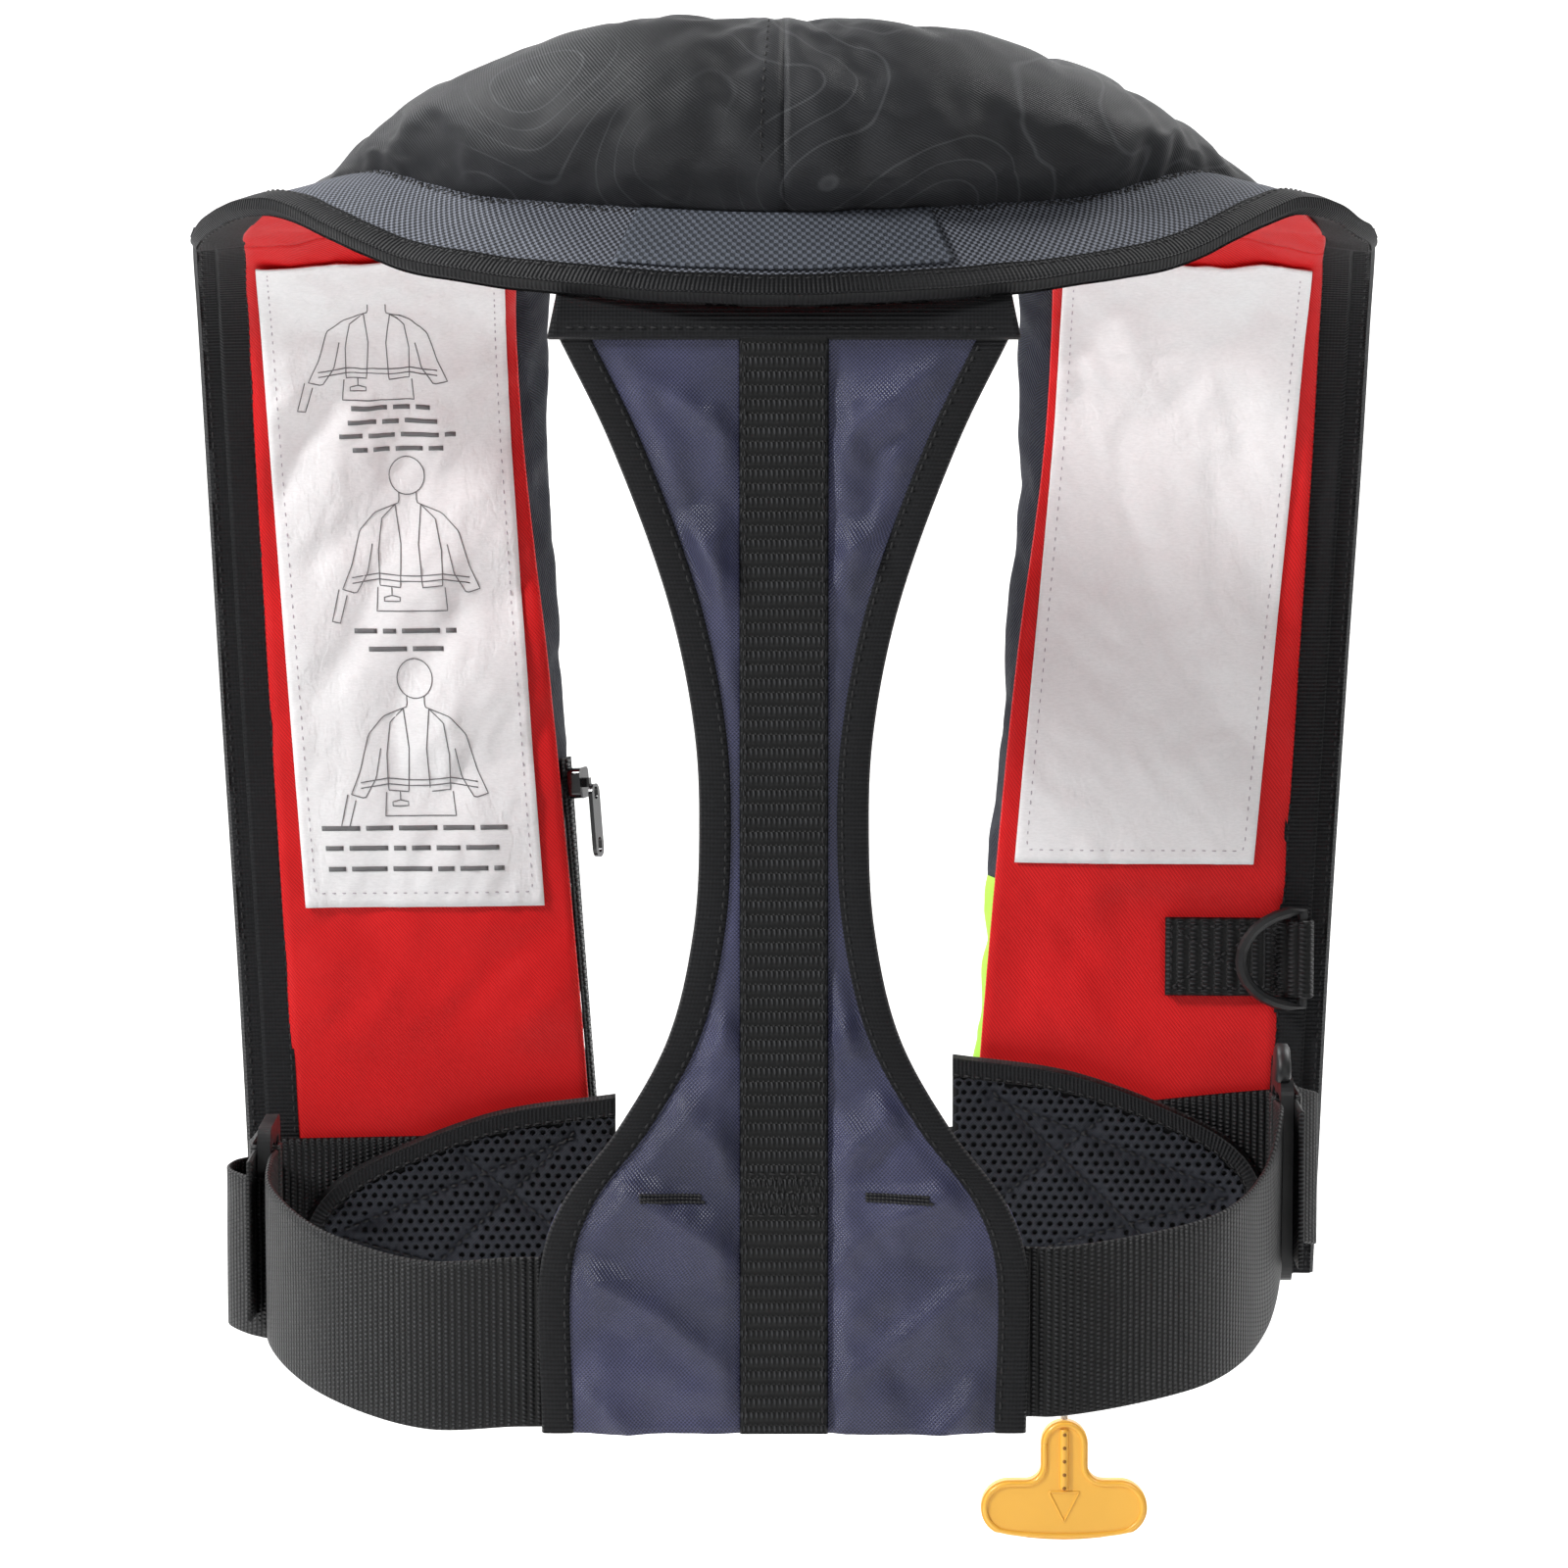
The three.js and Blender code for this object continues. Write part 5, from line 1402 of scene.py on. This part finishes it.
for side, (start, end) in chest.items():
    ks = band_rows(start + 0.02, end - 0.02, 2.5)
    edge_tape, closure_tape = (bpy.data.objects[f"{n}_tape_{side}"] for n in ("edge", "closure"))
    sewn(f"edge_stitches_{side}", edge_tape, ks, lambda w, k: w - strip_width(k) + 2.2, True)
    sewn(f"closure_stitches_{side}", closure_tape, ks, lambda w, k: w - 2.6, True)
collar_ks = band_rows(SHOULDER + 0.02, LEFT_SHOULDER - 0.02, 2.5)
sewn("collar_stitches", collar_tape, collar_ks, lambda w, k: w - strip_width(k) + 2.5, False)
sewn("collar_stitches_under", collar_tape, collar_ks, lambda w, k: w - 2.5, True)
trim_line = band_rows(TRIM_START + 0.1, LAST - TRIM_START - 0.1, 1.6)
zigs = np.where(np.arange(len(trim_line)) % 2, 0.4, 2.6)
over = band_line(trim_line, cover_width(stations(trim_line)[3], trim_line) + zigs, 0, surface_of(trim))
thread("trim_overlock", [over], slot="woven_trim", radius=0.3, length=1.9, pitch=2.0)

# The stitch line beside the collar's centre seam.
collar_wide = float(cover_width(stations(CENTRE)[3], CENTRE)[0])
beside_seam = np.full(70, CENTRE + 0.075)
line = on_band(beside_seam, np.linspace(3, collar_wide - 2, 70)[:, None], 4.0)[:, 0]
out = unit(stations(beside_seam)[2] + 0.001)
line = laid(surface_of(collar_left, collar_right), line, out, 42.0)
thread("centre_seam", [(line, out)], slot="printed_fabric", radius=0.3, length=2.2)


# ---- Stitching on the yoke ----
def on_yoke(tree, corners, count):
    """A line of (x, z) places laid on the back of the yoke's pieces."""
    line = resampled(corners, count)
    out = np.broadcast_to([0.0, -1.0, 0.0], (count, 3))
    return laid(tree, np.stack([line[:, 0], yoke_y(line[:, 1]), line[:, 1]], axis=-1), out), out


yoke_ends = (YOKE_Z[0] - 2, YOKE_Z[-1] + 2)
rows = np.linspace(*yoke_ends, 400)
for side, way in SIDES.items():
    bound = surface_of(bpy.data.objects[f"yoke_tape_{side}"])
    line = np.stack([way * (yoke_half(rows) - YOKE_BINDING + 1.8), rows], axis=-1)
    thread(f"yoke_stitches_{side}", [on_yoke(bound, line, 400)], radius=0.36)
panel_tree = surface_of(panel_cloth, strap)
BOX_FOOT, BOX_MIDDLE, BOX_TOP = -278, -272, -266
reach = half_strap - 2
runs = [on_yoke(panel_tree, [(x, z) for z in yoke_ends], 300) for x in (1.6 - half_strap, half_strap - 1.6)]
for low in (BOX_FOOT, BOX_MIDDLE):
    zigzag = [(reach - 2 * reach * i / 20, low + 6 * (i % 2)) for i in range(21)]
    runs.append(on_yoke(panel_tree, zigzag, 160))
runs += [on_yoke(panel_tree, [(-reach, z), (reach, z)], 40) for z in (BOX_FOOT, BOX_TOP)]
thread("strap_stitches", runs, slot="webbing", radius=0.3, length=2.2, pitch=3.0)
TACK_Z = -273
tacks = [
    on_yoke(panel_tree, [(low, TACK_Z + 0.4 + shift), (high, TACK_Z - 0.4 + shift)], 60)
    for low, high in ((-42, -22.5), (23, 43))
    for shift in (-0.9, 0, 0.9)
]
thread("bar_tacks", tacks, slot="coated_nylon", radius=0.5, length=1.5, pitch=1.15)
head_line = [(-62, HEAD_STITCH_Z), (62, HEAD_STITCH_Z)]
thread("head_stitches", [on_yoke(surface_of(head), head_line, 130)])

# ---- Line drawings on the left label, with bars in place of writing ----
LABEL_LONG = 224
DRAWING_LEAN = 0.03  # the drawings follow the label's slope
DRAWING_TOP = 201
HEAD_WIDE, HEAD_TALL = 5.65, 6.3
HEADS = [(2.2, 72.2), (2.5, 136.9), (-5.7, 206)]  # from the label's middle, and up from its foot
BARS = [  # height above the label's foot, and length
    (25.1, 59.7),
    (18.8, 57.8),
    (12.2, 56.5),
    (87.3, 32.7),
    (81.6, 23.9),
    (160.1, 28.9),
    (155.4, 31.4),
    (150.7, 37.1),
    (146, 28.9),
]
SLEEVE = [(2.8, -5.3), (2.8, -8.8), (10.7, -11.9), (15.7, -17.6), (18.8, -28.9)]
HAND = [(22, -36.4), (17.6, -37.7), (13.8, -31.4), (11.9, -22)]
VEST = [(4.1, -9.4), (8.5, -13.8), (10, -23.9), (10, -35.2), (3.5, -35.8), (2.8, -22), (4.1, -9.4)]
BELT = [(3.5, 0.6), (10, 1.3), (18.8, 0)]
TRUNK = [(-10.7, -35.8), (-11.3, -43.3), (11.3, -43.3), (10.7, -35.8)]
PULL_BAR = [(-8.8, -38.9), (-8.8, -40.2), (-3.8, -40.2), (-3.8, -38.9)]
PULL = [(-6.3, -35.8), (-6.3, -38.3), *PULL_BAR, (-6.3, -38.3)]
STRAP_END = [(-23.2, -36.4), (-25.7, -46.5), (-23.2, -47.1), (-20.7, -38.3)]


def figure():
    """A person in a jacket, as lines from the middle of the head."""
    turn = np.linspace(0, 2 * np.pi, 25)
    lines = [list(zip(HEAD_WIDE * np.sin(turn), HEAD_TALL * np.cos(turn))), TRUNK, PULL, STRAP_END]
    for side in (-1, 1):
        lines += [[(side * x, z) for x, z in half] for half in (SLEEVE + HAND, VEST)]
    for height in (-32.7, -34.5):
        half = [(x, z + height) for x, z in BELT]
        lines.append([(-x, z) for x, z in reversed(half)] + half)
    return lines


def inked(name, runs, half_width, proud=0.16):
    """Flat raised lines on the left label, through places from its middle and above its foot."""
    sections = []
    for run in runs:
        steps = max(2, int(np.linalg.norm(np.diff(run, axis=0), axis=1).sum() / 1.25))
        run = resampled(run, steps + 1)
        way = unit(np.gradient(run, axis=0) + 1e-9)
        off = np.stack([-way[:, 1], way[:, 0]], axis=-1) * half_width
        corners = []
        for sign, lift in ((1, proud), (-1, proud), (-1, -0.2), (1, -0.2)):
            x, z = (run + sign * off).T
            u = 0.5 - (x + DRAWING_LEAN * (z - HEADS[0][1])) / LABELS["left"]["width"]
            corners.append(on_label("left", u, z / LABEL_LONG, lift)[0])
        sections.append(np.stack(corners, axis=1))
    return dress(new_mesh(name, *bars(sections)), MATERIALS["label_ink"])


figures = [[(x + px, z + pz) for px, pz in line] for x, z in HEADS for line in figure()]
inked("label_figures", [line for line in figures if max(z for _, z in line) < DRAWING_TOP], 0.16)
words, chance = [], np.random.RandomState(4)
for z, long in BARS:
    at, end = -long / 2, long / 2
    while at < end - 2.5:
        word = min(chance.uniform(3.8, 12.6), end - at)
        words.append([(at, z), (at + word, z)])
        at += word + 1.9
inked("label_bars", words, 0.75)

# ---- Pull tab: raised rim, rib with pin holes and a plain triangle, on both faces; the holes are dark plugs of painted shade ----
TAB_Z = LANYARD_FOOT - GAP
TAB_HALF_THICK = 2
PIN_HEIGHTS = (-4.5, -9, -13.5, -18, -22.5)


def arc(x, z, radius, start, end, count):
    return [(x + radius * math.cos(a), z + radius * math.sin(a)) for a in np.linspace(start, end, count)]


top, sixth = math.pi / 2, math.pi / 3
bow = [(22.1 * math.cos(a), -36.3 - 2.4 * math.sin(a)) for a in np.linspace(0.1, math.pi - 0.1, 12)]
rim_line = [
    *arc(0, -7.75, 6.4, 2 * top, 0, 12),
    *arc(12.75, -15, 6.4, 2 * top, 3 * top, 6),
    *arc(18.1, -29.4, 8.0, top, -sixth, 14),
    *bow,
    *arc(-18.1, -29.4, 8.0, 4 * sixth, top, 14),
    *arc(-12.75, -15, 6.4, 3 * top, 4 * top, 6),
]
rim_line = resampled([*rim_line, rim_line[0]], 150)
triangle = resampled([(-5, -24), (5, -24), (0, -34), (-5, -24)], 50)
rib_line = [(0, z) for z in np.linspace(-3, -23, 30)]
for face, way in (("rear", -1), ("front", 1)):
    y = LANYARD_Y + way * TAB_HALF_THICK
    for name, line, radius, sides in (
        ("rim", rim_line, 0.85, 8),
        ("triangle", triangle, 0.4, 6),
        ("rib", rib_line, 1.5, 12),
    ):
        raised = tube(f"pull_{name}_{face}", [(LANYARD_X + x, y, TAB_Z + z) for x, z in line], radius, sides)
        dress(raised, MATERIALS["yellow_plastic"], body="handle")
    # Each pin hole is a short dark plug on the rib: painted shade in the hole, which is not cut.
    for i, z in enumerate(PIN_HEIGHTS):
        ends = [(LANYARD_X, y + way * 1.1, TAB_Z + z), (LANYARD_X + 0.001, y + way * 1.58, TAB_Z + z)]
        hole_shade = tube(f"pull_hole_shade_{face}_{i}", ends, 0.62, 10)
        dress(hole_shade, MATERIALS["pin_shadow"], body="handle")

# ---- The belt's folded tail beside the left adjuster, and the ear above the right one ----
TAIL_Z = -313
TAIL_PLAN = [(-158, 4), (-166, 12), (-173, 26), (-172, 40), (-166, 46), (-164.5, 40)]
ribbon("belt_tail", [(x, y, TAIL_Z) for x, y in TAIL_PLAN], BELT_WIDTH, "webbing", (), 90, ripple=0.4)
EAR_SIDES = 24
EAR_LAYERS = [(-2.2, 0.86), (-1.4, 1.0), (1.4, 1.0), (2.2, 0.86)]  # depth and share of the outline
x, y, z = np.array(ADJUSTERS["right"]) + [-1, -8, 34]
turn = np.linspace(0, 2 * np.pi, EAR_SIDES, endpoint=False)
petal_y, petal_z = 9 * np.cos(turn), 8 * np.sin(turn) * (0.75 + 0.25 * np.sin(turn))
rings = []
for depth, share in EAR_LAYERS:
    layer = np.broadcast_arrays(x + depth, y + share * petal_y, z + share * petal_z)
    rings.append(np.stack(layer, axis=-1))
ear = new_mesh("adjuster_ear", np.array(rings), closed_faces(len(rings), EAR_SIDES))
dress(ear, MATERIALS["black_plastic"])


# ---- World, lights and floor ----
world = bpy.data.worlds.new("studio")
bpy.context.scene.world = world
world.use_nodes = True
world.node_tree.nodes["Background"].inputs["Color"].default_value = (1.0, 1.0, 1.0, 1)
world.node_tree.nodes["Background"].inputs["Strength"].default_value = 0.22
bpy.context.scene.view_settings.view_transform = "Standard"


def area_light(name, place, target, size, power):
    data = bpy.data.lights.new(name, "AREA")
    data.shape = "DISK"
    data.size = size
    data.energy = power
    lamp = bpy.data.objects.new(name, data)
    lamp.location = place
    aim = Vector(target) - Vector(place)
    lamp.rotation_euler = aim.to_track_quat("-Z", "Y").to_euler()
    bpy.context.scene.collection.objects.link(lamp)


area_light("key", (-1.7, -1.0, 1.2), (0, 0, -0.15), 0.45, 46)
area_light("fill", (0.7, -2.3, 0.4), (0, 0, -0.15), 1.2, 7)
area_light("backdrop_left", (-1.6, 0.9, 1.6), (0.3, 3.0, -0.2), 1.5, 75)
area_light("backdrop_right", (1.6, 0.9, 1.6), (-0.3, 3.0, -0.2), 1.5, 75)

FLOOR_Z = -0.62
arc = np.linspace(0, np.pi / 2, 16)
profile = [(-4.0, 0.0), *[(2.2 + 1.5 * math.sin(a), 1.5 - 1.5 * math.cos(a)) for a in arc], (3.7, 5.0)]
sweep = np.array([[(x, y, FLOOR_Z + h) for x in (-6.0, 6.0)] for y, h in profile]) / MM
floor = new_mesh("studio_floor", sweep, strip_faces(len(profile), 2))
pale = Shade("pale_floor")
floor.data.materials.append(
    pale.finish(pale.mix(pale.noise(600, 2), (0.90, 0.90, 0.90), (0.93, 0.93, 0.93)), roughness=0.9)
)

# ---- The CAD nodes that are shown as they are ----
CARRIED = {
    "black_plastic": [
        *("adjuster_left", "adjuster_right", "buckle_socket", "buckle_plug"),
        *("buckle_arm_upper", "buckle_arm_lower", "d_ring"),
        *("inflator_body", "manifold", "oral_elbow", "oral_tube", "oral_cap"),
    ],
    "zipper_enamel": ["zip_slider", "zip_pull"],
    "steel": ["gas_cylinder", "cord_eyelet"],
    "yellow_plastic": ["sensor_cap", "inflator_lever", "pull_tab", "oral_valve"],
    "bladder_film": ["bladder"],
}
for finish, names in CARRIED.items():
    for name in names:
        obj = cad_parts[name]
        obj.data.materials.clear()
        obj.data.materials.append(MATERIALS[finish])
        bevel = modify(obj, "BEVEL", width=0.6 * MM, segments=2, limit_method="ANGLE")
        bevel.angle_limit = math.radians(40)
        obj.data.polygons.foreach_set("use_smooth", [True] * len(obj.data.polygons))
